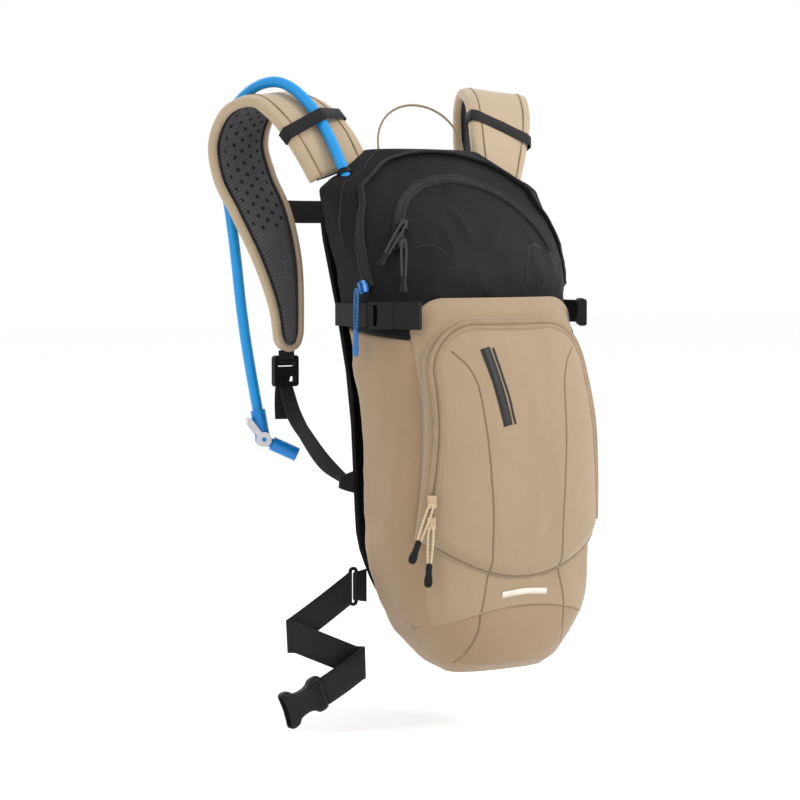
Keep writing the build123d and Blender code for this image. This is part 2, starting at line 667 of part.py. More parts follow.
bite = Plane(origin=elbow_point, z_dir=outlet) * Pos(0, 0, 20.5)
sleeve = bite * (Cylinder(6.2, 24) - Pos(0, 0, -8) * Cylinder(4.25, 8.2))
save("bite_valve", sleeve)

LEVER_BORE = 2.05
disc = Pos(0, 0, 8) * (Cylinder(6.5, 2.4) - Cylinder(LEVER_BORE, 3))
other_disc = Pos(0, 0, -8) * (Cylinder(6.5, 2.4) - Cylinder(LEVER_BORE, 3))
arm = Box(20, 5, 2.4).rotate(Axis.Z, -27)
arms = Pos(-9, 5, 8) * arm + Pos(-9, 5, -8) * arm
bridge_bar = Pos(-18.5, 9.6, 0) * Box(4, 4, 18.4)
lever = disc + other_disc + arms + bridge_bar - Cylinder(LEVER_BORE, 20)
save("shutoff_lever", boss_plane * lever)
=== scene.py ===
import itertools
import json
import math

import bpy
import numpy as np
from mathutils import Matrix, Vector


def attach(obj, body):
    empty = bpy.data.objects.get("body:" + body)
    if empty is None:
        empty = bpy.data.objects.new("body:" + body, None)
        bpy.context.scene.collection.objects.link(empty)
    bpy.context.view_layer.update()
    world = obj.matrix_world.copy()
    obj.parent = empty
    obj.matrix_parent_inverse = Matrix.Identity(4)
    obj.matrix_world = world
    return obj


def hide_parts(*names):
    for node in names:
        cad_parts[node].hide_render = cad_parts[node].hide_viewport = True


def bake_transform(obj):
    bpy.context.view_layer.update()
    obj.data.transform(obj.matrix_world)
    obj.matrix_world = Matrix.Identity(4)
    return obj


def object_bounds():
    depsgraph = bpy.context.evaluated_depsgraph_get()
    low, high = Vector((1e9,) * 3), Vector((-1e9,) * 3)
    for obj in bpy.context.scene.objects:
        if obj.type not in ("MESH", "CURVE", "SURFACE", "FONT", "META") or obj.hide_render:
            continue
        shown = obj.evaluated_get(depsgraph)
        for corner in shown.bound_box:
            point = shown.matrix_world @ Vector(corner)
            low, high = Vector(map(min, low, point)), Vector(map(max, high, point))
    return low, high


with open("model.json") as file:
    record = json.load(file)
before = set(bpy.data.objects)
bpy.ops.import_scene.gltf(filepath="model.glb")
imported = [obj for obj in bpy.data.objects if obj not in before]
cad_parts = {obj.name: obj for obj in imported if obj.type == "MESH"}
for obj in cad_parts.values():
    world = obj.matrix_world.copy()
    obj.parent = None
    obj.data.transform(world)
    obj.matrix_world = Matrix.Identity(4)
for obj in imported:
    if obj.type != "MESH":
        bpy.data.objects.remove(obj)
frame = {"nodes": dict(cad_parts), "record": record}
CAD_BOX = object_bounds()

# Every place below is in millimetres: X to the wearer's right, Y toward the wearer,
# Z up from the pack's underside. place() takes it to the frame's metres.
LOOP_Y = 50
LOOP_TOP = 478


def place(points):
    return (np.asarray(points, float) - (0, LOOP_Y, LOOP_TOP)) / 1000


def new_object(name, data):
    made = bpy.data.objects.new(name, data)
    bpy.context.scene.collection.objects.link(made)
    return made


def aim(thing, way):
    """Turns a camera or a lamp to look along a direction."""
    thing.rotation_mode = "QUATERNION"
    thing.rotation_quaternion = way.to_track_quat("-Z", "Y")


# ---------------------------------------------------------------- camera

CAMERA_SPOT = (-1388, -1830, 364)
CAMERA_AZIMUTH = -36
CAMERA_RISE = 3.5
CAMERA_LENS = 120.3

camera_data = bpy.data.cameras.new("camera")
camera_data.lens = CAMERA_LENS
camera_data.sensor_width = 36
camera_data.clip_end = 100
camera = new_object("camera", camera_data)
turn, rise = math.radians(CAMERA_AZIMUTH), math.radians(CAMERA_RISE)
level = math.cos(rise)
camera.location = place(CAMERA_SPOT)
aim(camera, -Vector((math.sin(turn) * level, -math.cos(turn) * level, math.sin(rise))))
bpy.context.scene.camera = camera

# ---------------------------------------------------------------- materials


# The scale at which Blender's wave texture repeats once per unit.
ONE_WAVE = 0.314159


class Paint:
    """Builds one node material step by step."""

    def __init__(self, name, color, roughness=0.8, **sockets):
        self.material = bpy.data.materials.new(name)
        self.material.use_nodes = True
        self.tree = self.material.node_tree
        self.shader = self.tree.nodes["Principled BSDF"]
        self.shader.inputs["Base Color"].default_value = (*linear(color), 1)
        self.shader.inputs["Roughness"].default_value = roughness
        for socket, value in sockets.items():
            self.shader.inputs[socket.replace("_", " ")].default_value = value
        self.color = linear(color)
        self.height = None

    def add(self, kind, **values):
        node = self.tree.nodes.new(kind)
        for key, value in values.items():
            setattr(node, key, value)
        return node

    def link(self, out, into):
        self.tree.links.new(out, into)

    def math(self, operation, a, b):
        node = self.add("ShaderNodeMath", operation=operation)
        for socket, value in zip(node.inputs, (a, b)):
            if hasattr(value, "links"):
                self.link(value, socket)
            else:
                socket.default_value = value
        return node.outputs[0]

    def mixed(self, first, second, share):
        """Adds two values, one weighted by the share and the other by what is left."""
        return self.math("ADD", self.math("MULTIPLY", first, share),
                         self.math("MULTIPLY", second, 1 - share))

    def coordinates(self, source, scale):
        coordinate = self.add("ShaderNodeTexCoord")
        mapping = self.add("ShaderNodeMapping")
        mapping.inputs["Scale"].default_value = scale
        self.link(coordinate.outputs[source], mapping.inputs["Vector"])
        return mapping.outputs["Vector"]

    def noise(self, size, detail=3.0, stretch=(1, 1, 1)):
        scale = tuple(s / size for s in stretch)
        node = self.add("ShaderNodeTexNoise")
        node.inputs["Scale"].default_value = 1.0
        node.inputs["Detail"].default_value = detail
        self.link(self.coordinates("Object", scale), node.inputs["Vector"])
        return node.outputs["Fac"]

    def waves(self, pitch, axis, source="UV"):
        """Ridges that repeat every pitch metres along one axis."""
        node = self.add("ShaderNodeTexWave", wave_type="BANDS", bands_direction=axis)
        node.inputs["Scale"].default_value = ONE_WAVE
        self.link(self.coordinates(source, (1 / pitch,) * 3), node.inputs["Vector"])
        return node.outputs["Fac"]

    def ramp(self, value, low, high):
        """Maps a 0 to 1 value to a range."""
        node = self.add("ShaderNodeMapRange")
        node.inputs["To Min"].default_value = low
        node.inputs["To Max"].default_value = high
        self.link(value, node.inputs["Value"])
        return node.outputs["Result"]

    def vary(self, value, dark, light):
        """Colour runs from dark to light multiples of the base colour with value."""
        node = self.add("ShaderNodeMix", data_type="RGBA")
        for socket, share in (("A", dark), ("B", light)):
            colors = [s for s in node.inputs if s.name == socket and s.type == "RGBA"]
            colors[0].default_value = (*[min(1.0, c * share) for c in self.color], 1)
        self.link(value, node.inputs["Factor"])
        colors = [s for s in node.outputs if s.type == "RGBA"]
        self.link(colors[0], self.shader.inputs["Base Color"])
        return self

    def bump(self, value, metres, strength=1.0):
        node = self.add("ShaderNodeBump")
        node.inputs["Distance"].default_value = metres
        node.inputs["Strength"].default_value = strength
        self.link(value, node.inputs["Height"])
        if self.height is not None:
            self.link(self.height, node.inputs["Normal"])
        self.height = node.outputs["Normal"]
        self.link(self.height, self.shader.inputs["Normal"])
        return self


def linear(color):
    """An sRGB colour, 0 to 255, as linear light."""
    shares = [c / 255 for c in color]
    return tuple(s / 12.92 if s <= 0.04045 else ((s + 0.055) / 1.055) ** 2.4 for s in shares)


THREAD_PITCH = 0.0009
SLUB_SIZE, CREASE_SIZE, TONE_SIZE = 0.004, 0.018, 0.05
MESH_PITCH = 0.0016
RIB_PITCH, ZIP_PITCH, WARP_PITCH = 0.0016, 0.0022, 0.0012
GRAIN_SIZE = 0.0012


def cloth(name, color, roughness=0.82, sheen=0.25, contrast=0.10, gloss=0.25):
    """Plain-woven pack cloth: fine crossed threads, slubs and soft creases."""
    paint = Paint(name, color, roughness, Sheen_Weight=sheen, Specular_IOR_Level=gloss)
    paint.shader.inputs["Sheen Roughness"].default_value = 0.5
    threads = paint.math("ADD", *(paint.waves(THREAD_PITCH, axis, "Object") for axis in "XZ"))
    slub = paint.noise(SLUB_SIZE, detail=4.0, stretch=(1, 1, 6))
    paint.vary(paint.mixed(paint.noise(TONE_SIZE), slub, 0.6), 1 - contrast, 1 + contrast)
    paint.bump(paint.noise(CREASE_SIZE, detail=4.0, stretch=(1, 1, 0.5)), 0.0012, 0.6)
    paint.bump(slub, 0.0003, 0.5)
    paint.bump(threads, 0.00010, 0.6)
    return paint.material


def mesh_cloth(name, color):
    """Open knitted mesh with small diagonal cells."""
    paint = Paint(name, color, 0.75, Sheen_Weight=0.05, Specular_IOR_Level=0.2)
    cells = paint.math("MULTIPLY", paint.waves(MESH_PITCH, "DIAGONAL"), paint.waves(MESH_PITCH, "X"))
    paint.vary(paint.mixed(cells, paint.noise(0.02), 0.8), 0.45, 1.75)
    paint.bump(cells, 0.0004, 0.8)
    paint.bump(paint.noise(0.02), 0.001, 0.5)
    return paint.material


def webbing(name, color, pitch=RIB_PITCH):
    """Woven strap: cross ribs and fine lengthwise threads."""
    paint = Paint(name, color, 0.7, Sheen_Weight=0.04, Specular_IOR_Level=0.2)
    ribs = paint.waves(pitch, "X")
    paint.vary(paint.mixed(ribs, paint.noise(0.012), 0.4), 0.72, 1.3)
    paint.bump(ribs, 0.0003, 0.7)
    paint.bump(paint.waves(WARP_PITCH, "Y"), 0.0001, 0.6)
    return paint.material


def plastic(name, color, roughness=0.42, **sockets):
    """Moulded plastic with fine spark grain and rubbed patches."""
    paint = Paint(name, color, roughness, **sockets)
    paint.vary(paint.noise(0.012, detail=5.0), 0.82, 1.22)
    paint.bump(paint.noise(GRAIN_SIZE, detail=2.0), 0.00008, 0.5)
    rough = paint.ramp(paint.noise(0.009), roughness - 0.08, roughness + 0.12)
    paint.link(rough, paint.shader.inputs["Roughness"])
    return paint.material


def soft_tube(name, color):
    """Tinted soft tube, a little see-through."""
    paint = Paint(name, color, 0.28, Coat_Weight=0.1, Subsurface_Weight=0.1, Specular_IOR_Level=0.35)
    paint.shader.inputs["Subsurface Radius"].default_value = (0.004, 0.008, 0.012)
    paint.shader.inputs["Subsurface Scale"].default_value = 0.5
    paint.vary(paint.noise(0.03, detail=3.0), 0.88, 1.1)
    paint.bump(paint.noise(0.004, detail=2.0), 0.00006, 0.4)
    return paint.material


def braid(name, color, dark=0.6, light=1.25):
    """Braided cord."""
    paint = Paint(name, color, 0.7, Sheen_Weight=0.2)
    strands = paint.waves(0.0014, "DIAGONAL", "Object")
    paint.vary(strands, dark, light)
    paint.bump(strands, 0.0003, 0.8)
    return paint.material


MATERIALS = {
    "tan_fabric": cloth("tan_cloth", (149, 128, 103)),
    # tan_side_fabric is the tan cloth made darker: painted shade for the pack's shaded sides.
    "tan_side_fabric": cloth("tan_cloth_painted_shade", (143, 120, 94)),
    "black_fabric": cloth("black_cloth", (10, 10, 11), roughness=0.62, sheen=0.02, contrast=0.22,
                          gloss=0.16),
    "mesh_fabric": mesh_cloth("air_mesh", (84, 84, 86)),
    "strap_fabric": cloth("strap_cloth", (167, 148, 122)),
    "lining_fabric": cloth("lining_cloth", (92, 92, 95)),
    "zip_black": webbing("zip_black", (26, 26, 27), ZIP_PITCH),
    "zip_tan": webbing("zip_tan", (146, 125, 101), ZIP_PITCH),
    "black_webbing": webbing("black_webbing", (23, 23, 24)),
    "tan_webbing": webbing("tan_webbing", (140, 121, 96)),
    "black_plastic": plastic("black_plastic", (13, 13, 14), 0.5, Specular_IOR_Level=0.2),
    "tan_tips": plastic("black_grip", (13, 13, 14), 0.55, Specular_IOR_Level=0.2),
    "slider_metal": plastic("slider_black", (34, 34, 35), 0.35, Metallic=0.4),
    "tan_slider": plastic("slider_tan", (196, 170, 136), 0.4, Metallic=0.2),
    "blue_slider": plastic("slider_blue", (20, 92, 150), 0.35, Metallic=0.3),
    "blue_cord": braid("blue_cord", (14, 88, 146)),
    "black_cord": braid("black_cord", (30, 30, 31)),
    "tan_cord": braid("tan_cord", (190, 170, 140), 0.85, 1.1),
    "blue_tube": soft_tube("blue_tube", (2, 134, 200)),
    "blue_valve": soft_tube("blue_valve", (6, 122, 196)),
    "grey_lever": plastic("grey_lever", (196, 194, 198), 0.38),
    "clear_film": plastic("clear_film", (178, 214, 230), 0.2, Transmission_Weight=0.6),
    "blue_fitting": plastic("blue_fitting", (16, 92, 156), 0.35),
}
DARK_SEAM = cloth("seam_shadow", (116, 97, 74))
BLACK_SEAM = cloth("black_seam", (16, 16, 17))
# Dark discs that stand for the strap mesh's holes: their colour is painted shade in the holes.
HOLE_SHADE = plastic("hole_painted_shade", (10, 10, 11), 0.9)
PRINT_DARK = plastic("print_dark", (22, 20, 22), 0.6)
PRINT_LIGHT = plastic("print_light", (205, 198, 186), 0.55)
EDGE_DARK = cloth("edge_dark", (24, 22, 22))

# ---------------------------------------------------------------- meshes


def keep(name, body, slot=None, material=None, stands_for=(), bend=None):
    """Finishes a new object: its material, the nodes it replaces, and the body it rides on.
    With a bend, it rides on no body: its place is baked into its mesh, and the bend's two places are not
    used."""
    piece = bpy.data.objects[name]
    piece.data.materials.append(material or MATERIALS[slot])
    if stands_for:
        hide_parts(*stands_for)
    if bend:
        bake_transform(piece)
    else:
        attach(piece, body)
    return piece


def smooth_faces(mesh):
    mesh.polygons.foreach_set("use_smooth", [True] * len(mesh.polygons))


def mesh_object(name, points, faces, uvs=None):
    """A mesh from points in millimetres, with texture places in metres."""
    mesh = bpy.data.meshes.new(name)
    mesh.from_pydata([tuple(p) for p in place(points)], [], faces)
    if uvs is not None:
        layer = mesh.uv_layers.new(name="UVMap")
        corners = np.array([uvs[v] for face in faces for v in face], float) / 1000
        layer.data.foreach_set("uv", corners.ravel())
    smooth_faces(mesh)
    mesh.update()
    return new_object(name, mesh)


def travelled(points):
    """Length along a line up to each of its points."""
    return np.r_[0, np.cumsum(np.linalg.norm(np.diff(points, axis=0), axis=1))]


def grid_object(name, rows, around=True, caps=True, flip=False):
    """A skin through rows of points. The rows close on themselves if around is set."""
    rows = np.asarray(rows, float)
    count, width = rows.shape[:2]
    along = np.zeros((count, width))
    along[1:] = np.cumsum(np.linalg.norm(np.diff(rows, axis=0), axis=2), axis=0)
    across = np.zeros((count, width))
    across[:, 1:] = np.cumsum(np.linalg.norm(np.diff(rows, axis=1), axis=2), axis=1)
    uvs = np.stack([along.ravel(), across.ravel()], 1)
    faces = []
    for i in range(count - 1):
        for j in range(width if around else width - 1):
            k = (j + 1) % width
            face = (i * width + j, i * width + k, (i + 1) * width + k, (i + 1) * width + j)
            faces.append(face[::-1] if flip else face)
    if caps and around:
        first = tuple(range(width))
        last = tuple((count - 1) * width + j for j in range(width))
        faces.append(first if flip else first[::-1])
        faces.append(last[::-1] if flip else last)
    return mesh_object(name, rows.reshape(-1, 3), faces, uvs)


def resample(points, step):
    """Points every step millimetres or so along a smooth curve through the given ones."""
    points = np.asarray(points, float)
    length = travelled(points)
    count = max(3, int(length[-1] / step) + 1)
    spots = np.linspace(0, length[-1], count)
    return np.stack([smooth(length, points[:, k], spots) for k in range(points.shape[1])], 1)


def smooth(places, values, spots):
    """A curve through values at places that doesn't swing past them."""
    places, values, spots = (np.asarray(v, float) for v in (places, values, spots))
    step = np.diff(places)
    slope = np.diff(values) / step
    both = slope[:-1] * slope[1:]
    total = slope[:-1] + slope[1:]
    middle = np.where(both > 0, 2 * both / np.where(total == 0, 1, total), 0)
    ends = np.r_[slope[0], middle, slope[-1]]
    i = np.clip(np.searchsorted(places, spots) - 1, 0, len(step) - 1)
    t = (spots - places[i]) / step[i]
    return hermite(t, step[i], values[i], values[i + 1], ends[i], ends[i + 1])


def hermite(t, gap, near, far, leaving, arriving):
    """A cubic across a gap, with its values and slopes at both ends."""
    held = (2 * t**3 - 3 * t**2 + 1) * near + (3 * t**2 - 2 * t**3) * far
    return held + gap * ((t**3 - 2 * t**2 + t) * leaving + (t**3 - t**2) * arriving)


def ease(value):
    value = np.clip(value, 0, 1)
    return value * value * (3 - 2 * value)


# Large odd numbers that scatter the lattice's corners.
HASH_STEPS = np.array((374761393, 668265263, 2147483629))
HASH_SEED, HASH_TURN, HASH_BITS = 974634777, 1274126177, 0xFFFFFFFF


def noise(points, size, seed=0):
    """Smooth noise from -1 to 1 on a lattice of cells of the given size."""
    q = np.asarray(points, float) / size
    base = np.floor(q).astype(np.int64)
    f = ease(q - base)
    total = np.zeros(len(q))
    for corner in itertools.product((0, 1), repeat=3):
        spot = base + corner
        mixed = (spot @ HASH_STEPS + seed * HASH_SEED) & HASH_BITS
        mixed = ((mixed ^ (mixed >> 13)) * HASH_TURN) & HASH_BITS
        value = ((mixed ^ (mixed >> 16)) & 0xFFFF) / 32767.5 - 1
        total += np.prod(np.where(corner, f, 1 - f), axis=1) * value
    return total


def creases(points, size, seed=0):
    """Soft folds: rounded ridges with narrower valleys, from -1 to about 0.6."""
    return 0.6 - 1.6 * np.abs(noise(points, size, seed)) ** 0.8


def unit(vectors):
    length = np.linalg.norm(vectors, axis=-1, keepdims=True)
    return vectors / np.where(length < 1e-9, 1, length)


def tangents(points):
    return unit(np.gradient(np.asarray(points, float), axis=0))


def sweep(name, centres, sideways, outward, profile, scale=None, caps=True):
    """Carries a closed profile, given as sideways and outward pairs, along a line."""
    profile = np.asarray(profile, float)
    rows = []
    for index, centre in enumerate(centres):
        factor = (1, 1) if scale is None else scale[index]
        rows.append(centre + profile[:, :1] * factor[0] * sideways[index]
                    + profile[:, 1:] * factor[1] * outward[index])
    return grid_object(name, rows, caps=caps)


def flat_profile(half, thick, steps=3):
    """A strap's section with rounded edges."""
    radius = thick / 2
    edges = []
    for side, first in ((1, -0.5), (-1, 0.5)):
        for step in range(steps + 1):
            angle = math.pi * (step / steps + first)
            edges.append((side * (half - radius) + radius * math.cos(angle), radius * math.sin(angle)))
    upper = [(half * share, radius) for share in (0.5, 0, -0.5)]
    lower = [(-x, -y) for x, y in upper]
    return edges[:steps + 1] + upper + edges[steps + 1:] + lower


def squared(way, vectors):
    """Unit vectors square to a line's direction, nearest the given ones."""
    vectors = np.asarray(vectors, float)
    return unit(vectors - way * np.sum(vectors * way, axis=1, keepdims=True))


def strap_piece(name, centres, sideways, half, thick, scale=None):
    """Webbing along a line, its width along the sideways vectors."""
    centres = np.asarray(centres, float)
    way = tangents(centres)
    sideways = squared(way, sideways)
    return sweep(name, centres, sideways, np.cross(sideways, way), flat_profile(half, thick), scale)


def round_profile(radius_across, radius_out, count=10):
    angles = [2 * math.pi * k / count for k in range(count)]
    return [(radius_across * math.cos(a), radius_out * math.sin(a)) for a in angles]


def powered(values, power):
    """Each value's size to a power, with its sign kept."""
    return np.sign(values) * np.abs(values) ** power


def circle(count):
    """Cosines and sines of evenly spaced angles round a circle."""
    angle = np.linspace(0, 2 * math.pi, count + 1)[:-1]
    return np.cos(angle), np.sin(angle)


# ---------------------------------------------------------------- the pack's form

# Height, half width, back, front, front roundness, and how deep the front panel
# and the main shell lie behind the pocket's face.
STATIONS = np.array([
    (0, 48, -45, -72, 2.4, 0, 0),
    (10, 62, -26, -88, 2.4, 0, 0),
    (48, 88, -8, -98, 3.0, 1, 2),
    (85, 99, 0, -101, 3.2, 5, 11),
    (114, 103, 5, -102, 3.2, 6.5, 13),
    (194, 105, 5, -100, 3.2, 6.5, 13),
    (274, 105, 20, -86, 2.6, 6.5, 13),
    (306, 107, 28, -72, 2.4, 2.5, 12),
    (338, 109, 37, -56, 2.2, 0, 1),
    (374, 113, 46, -28, 2.0, 0, 0),
    (402, 114, 52, 0, 2.0, 0, 0),
    (420, 88, 53, 15, 2.0, 0, 0),
    (438, 60, 54, 36, 2.0, 0, 0),
])
PANEL, SHELL = 5, 6
BACK_ROUND = 5.0
SEAM_SHARE = 0.35
TOP = 438
TUB_SLACK, HOOD_SLACK, FRONT_SLACK = 1.7, 2.1, 0.8
TUB_SEED, HOOD_SEED, PANEL_SEED, POCKET_SEED = 3, 11, 21, 33
# The upright lines that the tub's and the hood's cloth swells away from.
TUB_MIDDLE, HOOD_MIDDLE = -35, -5
DENSE = 720
ARCH_HALF, ARCH_RISE, ARCH_FOOT = 82, 75, 338
ARCH_FROM, ARCH_TO = 169, 11
# Y and Z of the lines that the reservoir zip and the rear seam follow over the hood.
RESERVOIR_ZIP_LINE, RESERVOIR_ZIP_LOW = [(-24, 315), (6, 390), (40, 446)], 322
BACK_SEAM_LINE, BACK_SEAM_LOW = [(6, 350), (16, 387), (22, 405), (31, 423), (48, 446)], 352


def row_at(z, column):
    return smooth(STATIONS[:, 0], STATIONS[:, column], np.asarray(z, float))


def ring(z, shares, recess=0.0):
    """Points round the pack at one height, evenly by length, from the back's middle to -X."""
    half, back, front, power = (float(row_at(z, k)) for k in (1, 2, 3, 4))
    front += recess
    seam = back - SEAM_SHARE * (back - front)
    angle = np.linspace(0, 2 * np.pi, DENSE + 1) + np.pi / 2
    c, s = np.cos(angle), np.sin(angle)
    order = np.where(s > 0, BACK_ROUND, power)
    reach = np.where(s > 0, back - seam, seam - front)
    x = half * powered(c, 2 / order)
    y = seam + reach * powered(s, 2 / order)
    length = np.r_[0, np.cumsum(np.hypot(np.diff(x), np.diff(y)))]
    spots = np.asarray(shares) * length[-1]
    x, y = np.interp(spots, length, x), np.interp(spots, length, y)
    return np.stack([x, y, np.full(len(spots), z)], 1)


def front_y(x, z, column=None):
    """Where the pack's front lies, or a layer behind it."""
    x, z = np.asarray(x, float), np.asarray(z, float)
    half, back, front, power = (row_at(z, k) for k in (1, 2, 3, 4))
    if column:
        front = front + row_at(z, column)
    seam = back - SEAM_SHARE * (back - front)
    share = np.clip(np.abs(x) / half, 0, 0.995)
    return seam - (seam - front) * (1 - share**power) ** (1 / power)


def puff(points, centre_y, amount):
    """Moves points outward from the pack's upright axis."""
    points = np.asarray(points, float)
    way = points - np.stack([np.zeros(len(points)), np.full(len(points), centre_y), points[:, 2]], 1)
    way[:, 0] *= 0.6
    return points + unit(way) * np.asarray(amount)[:, None]


SEAM_BACK = (80, 296)
SEAM_FRONT = (-140, 268)


def seam_height(y):
    share = (np.asarray(y) - SEAM_FRONT[0]) / (SEAM_BACK[0] - SEAM_FRONT[0])
    return SEAM_FRONT[1] + share * (SEAM_BACK[1] - SEAM_FRONT[1])


AROUND = 200
SHARES = np.arange(AROUND) / AROUND


def seam_ring():
    """The line where the tan tub meets the dark upper shell."""
    height = np.full(AROUND, 285.0)
    for _ in range(4):
        spots = np.array([ring(h, [share], 12)[0] for h, share in zip(height, SHARES)])
        height = seam_height(spots[:, 1])
    return height


SEAM_Z = seam_ring()


def shell_rows(low, high, count):
    """Rows of the main shell between two levels, each one height or a height per share."""
    low, high = (np.broadcast_to(v, AROUND).astype(float) for v in (low, high))
    rows = []
    for t in np.linspace(0, 1, count):
        heights = low + (high - low) * t
        if np.ptp(heights) > 0.01:
            spots = [ring(z, [share], float(row_at(z, SHELL)))[0] for z, share in zip(heights, SHARES)]
            rows.append(np.array(spots))
        else:
            rows.append(ring(heights[0], SHARES, float(row_at(heights[0], SHELL))))
    return rows


def wrinkled(points, amount, seed):
    """Slack in pack cloth: broad swells, upright folds and small puckers."""
    broad = noise(points, (46, 46, 60), seed) * 1.2
    folds = creases(points, (22, 30, 70), seed + 1) * 1.0
    slant = np.asarray(points) @ np.array([[0.8, 0, 0.6], [0, 1, 0], [-0.6, 0, 0.8]])
    pucker = creases(slant, (11, 20, 40), seed + 2) * 0.45
    return (broad + folds + pucker) * amount


def lower_tub():
    base = ring(0, SHARES, 0)
    middle = base.mean(axis=0)
    rows = []
    for share in (0.25, 0.5, 0.75, 0.9):
        rows.append(middle + (base - middle) * share - (0, 0, 2.5 * (1 - share)))
    rows += shell_rows(0, 60, 22)
    rows += shell_rows(60, SEAM_Z - 1, 76)[1:]
    out = []
    for row in rows:
        fade = ease(row[:, 2] / 40) * ease((SEAM_Z - row[:, 2]) / 18)
        front = ease((-40 - row[:, 1]) / 20)
        amount = wrinkled(row, TUB_SLACK, TUB_SEED) * fade * (1 - 0.8 * front)
        out.append(puff(row, TUB_MIDDLE, amount))
    grid_object("tub_cloth", out)
    # The whole tub wears the darker tan, whose extra darkness is painted shade.
    keep("tub_cloth", "pack", "tan_side_fabric", stands_for=["lower_shell"])


def hood_spot(points, low=None):
    """Points of the hood's plain form, moved as its cloth is, above its lower seam."""
    points = np.asarray(points, float)
    low = seam_height(points[:, 1]) if low is None else low
    fade = ease((points[:, 2] - low) / 14) * ease((TOP + 6 - points[:, 2]) / 30)
    return puff(points, HOOD_MIDDLE, wrinkled(points, HOOD_SLACK, HOOD_SEED) * fade)


def upper_hood():
    rows = shell_rows(SEAM_Z + 0.6, 400, 60) + shell_rows(400, TOP, 22)[1:]
    out = [hood_spot(row, SEAM_Z) for row in rows]
    middle = out[-1].mean(axis=0)
    for share, lift in ((0.93, 0.6), (0.8, 1.2), (0.55, 1.7), (0.3, 1.9)):
        out.append(middle + (rows[-1] - middle) * share + (0, 0, lift))
    grid_object("hood_cloth", out)
    keep("hood_cloth", "pack", "black_fabric", stands_for=["upper_shell"])


# ---------------------------------------------------------------- front panel and pocket

def arch(half_low, half_high, low, high, corner, drop, count=220):
    """Closed outline in X and Z: curved underside, straight sides, rounded shoulders."""
    under = [(x, low + drop * (x / half_low) ** 2) for x in np.linspace(-half_low, half_low, 40)]
    foot, shoulder = low + drop, high - corner
    side = [(half_low + (half_high - half_low) * t, foot + (shoulder - foot) * t)
            for t in np.linspace(0.02, 1, 30)]
    bend = [(half_high - corner + corner * math.cos(a), high - corner + corner * math.sin(a))
            for a in np.linspace(0.05, math.pi / 2, 24)]
    top = [(x, high) for x in np.linspace(half_high - corner, 0, 16)[1:]]
    right = side + bend + top
    left = [(-x, z) for x, z in reversed(right[:-1])]
    loop = np.array(under + right + left)
    closed = np.vstack([loop, loop[:1]])
    length = travelled(closed)
    spots = np.linspace(0, length[-1], count, endpoint=False)
    return np.stack([np.interp(spots, length, closed[:, k]) for k in (0, 1)], 1)


def inset_loop(loop, distance, centre):
    """The outline moved inward by a distance, toward a centre."""
    reach = np.linalg.norm(loop - centre, axis=1, keepdims=True)
    return centre + (loop - centre) * (1 - distance / reach)


STASH = arch(86, 86, 57, 313, 30, -17)
POCKET = arch(95, 85, 80, 297, 46, 36)
STASH_CENTRE = np.array((0.0, 188.0))
POCKET_CENTRE = np.array((0.0, 192.0))
PANEL_CURL = 13.0
POCKET_CURL = 12.0


def panel_y(x, z, distance):
    """The front panel: it rises off the shell near its sewn edge, except at its open top."""
    low, high = front_y(x, z, SHELL) - 0.8, front_y(x, z, PANEL)
    open_top = ease((z - 285) / 20)
    lift = np.maximum(ease((distance + 2) / PANEL_CURL), open_top)
    return low + (high - low) * lift


def pocket_y(x, z, distance):
    """The zipped pocket: it rises off the panel all round, and is a little crowned."""
    low, high = front_y(x, z, PANEL) - 0.6, front_y(x, z)
    crown = 2.2 * ease(distance / 70)
    return low + (high - low) * ease((distance + 1.5) / POCKET_CURL) - crown


def inner_distance(loop, x, z):
    """Distance inward from an outline, for points inside it."""
    points = np.stack([np.ravel(x), np.ravel(z)], 1)
    gap = np.linalg.norm(points[:, None, :] - loop[None, :, :], axis=2)
    return gap.min(axis=1).reshape(np.shape(x))


def slack(x, y, z, seed, distance):
    """Front cloth, folded outward more the farther it is from its edge."""
    fold = wrinkled(np.stack([x, y, z], 1), FRONT_SLACK, seed) * ease(distance / 24)
    return np.stack([x, y - fold, z], 1)


def patch(name, loop, centre, surface, seed, edge_thick):
    """A cloth panel inside an outline, from its turned edge to its middle."""
    reach = np.linalg.norm(loop - centre, axis=1).mean()
    middle = np.arange(18, reach * 0.985, 3.2)
    distances = np.r_[0, 1.2, 2.6, 4.2, 6, 8, 10, 12.5, 15, middle, reach * 0.995]
    rows = []
    for step, distance in enumerate(distances):
        flat = centre + (loop - centre) * (1 - distance / reach)
        x, z = flat[:, 0], flat[:, 1]
        y = surface(x, z, inner_distance(loop, x, z))
        rows.append(slack(x, y, z, seed, distance))
    turned = rows[0] + (0, edge_thick, 0)
    return grid_object(name, [turned] + rows, flip=True)


def front_panel():
    patch("panel_cloth", STASH, STASH_CENTRE, panel_y, PANEL_SEED, 3.0)
    keep("panel_cloth", "pack", "tan_fabric", stands_for=["stash_panel"])


def zipped_pocket():
    patch("pocket_cloth", POCKET, POCKET_CENTRE, pocket_y, POCKET_SEED, 2.0)
    keep("pocket_cloth", "pack", "tan_fabric", stands_for=["front_pocket"])


def on_cloth(loop, surface, seed):
    """Makes a function that lays X and Z on a sewn panel, a little proud of it."""
    def lay(x, z, proud=0.0):
        x, z = np.asarray(x, float), np.asarray(z, float)
        distance = inner_distance(loop, x, z)
        return slack(x, surface(x, z, distance), z, seed, distance) - (0, proud, 0)
    return lay


on_pocket = on_cloth(POCKET, pocket_y, POCKET_SEED)
on_panel = on_cloth(STASH, panel_y, PANEL_SEED)


def front_outward(points):
    """Rough outward direction on the pack's front."""
    x, z = points[:, 0], points[:, 2]
    across, upward = front_y(x + 2, z) - front_y(x - 2, z), front_y(x, z + 2) - front_y(x, z - 2)
    return unit(np.stack([across / 4, np.full(len(points), -1.0), upward / 4], 1))


def raised_line(name, points, outward, profile):
    sideways = unit(np.cross(tangents(points), outward))
    return sweep(name, points, sideways, outward, profile)


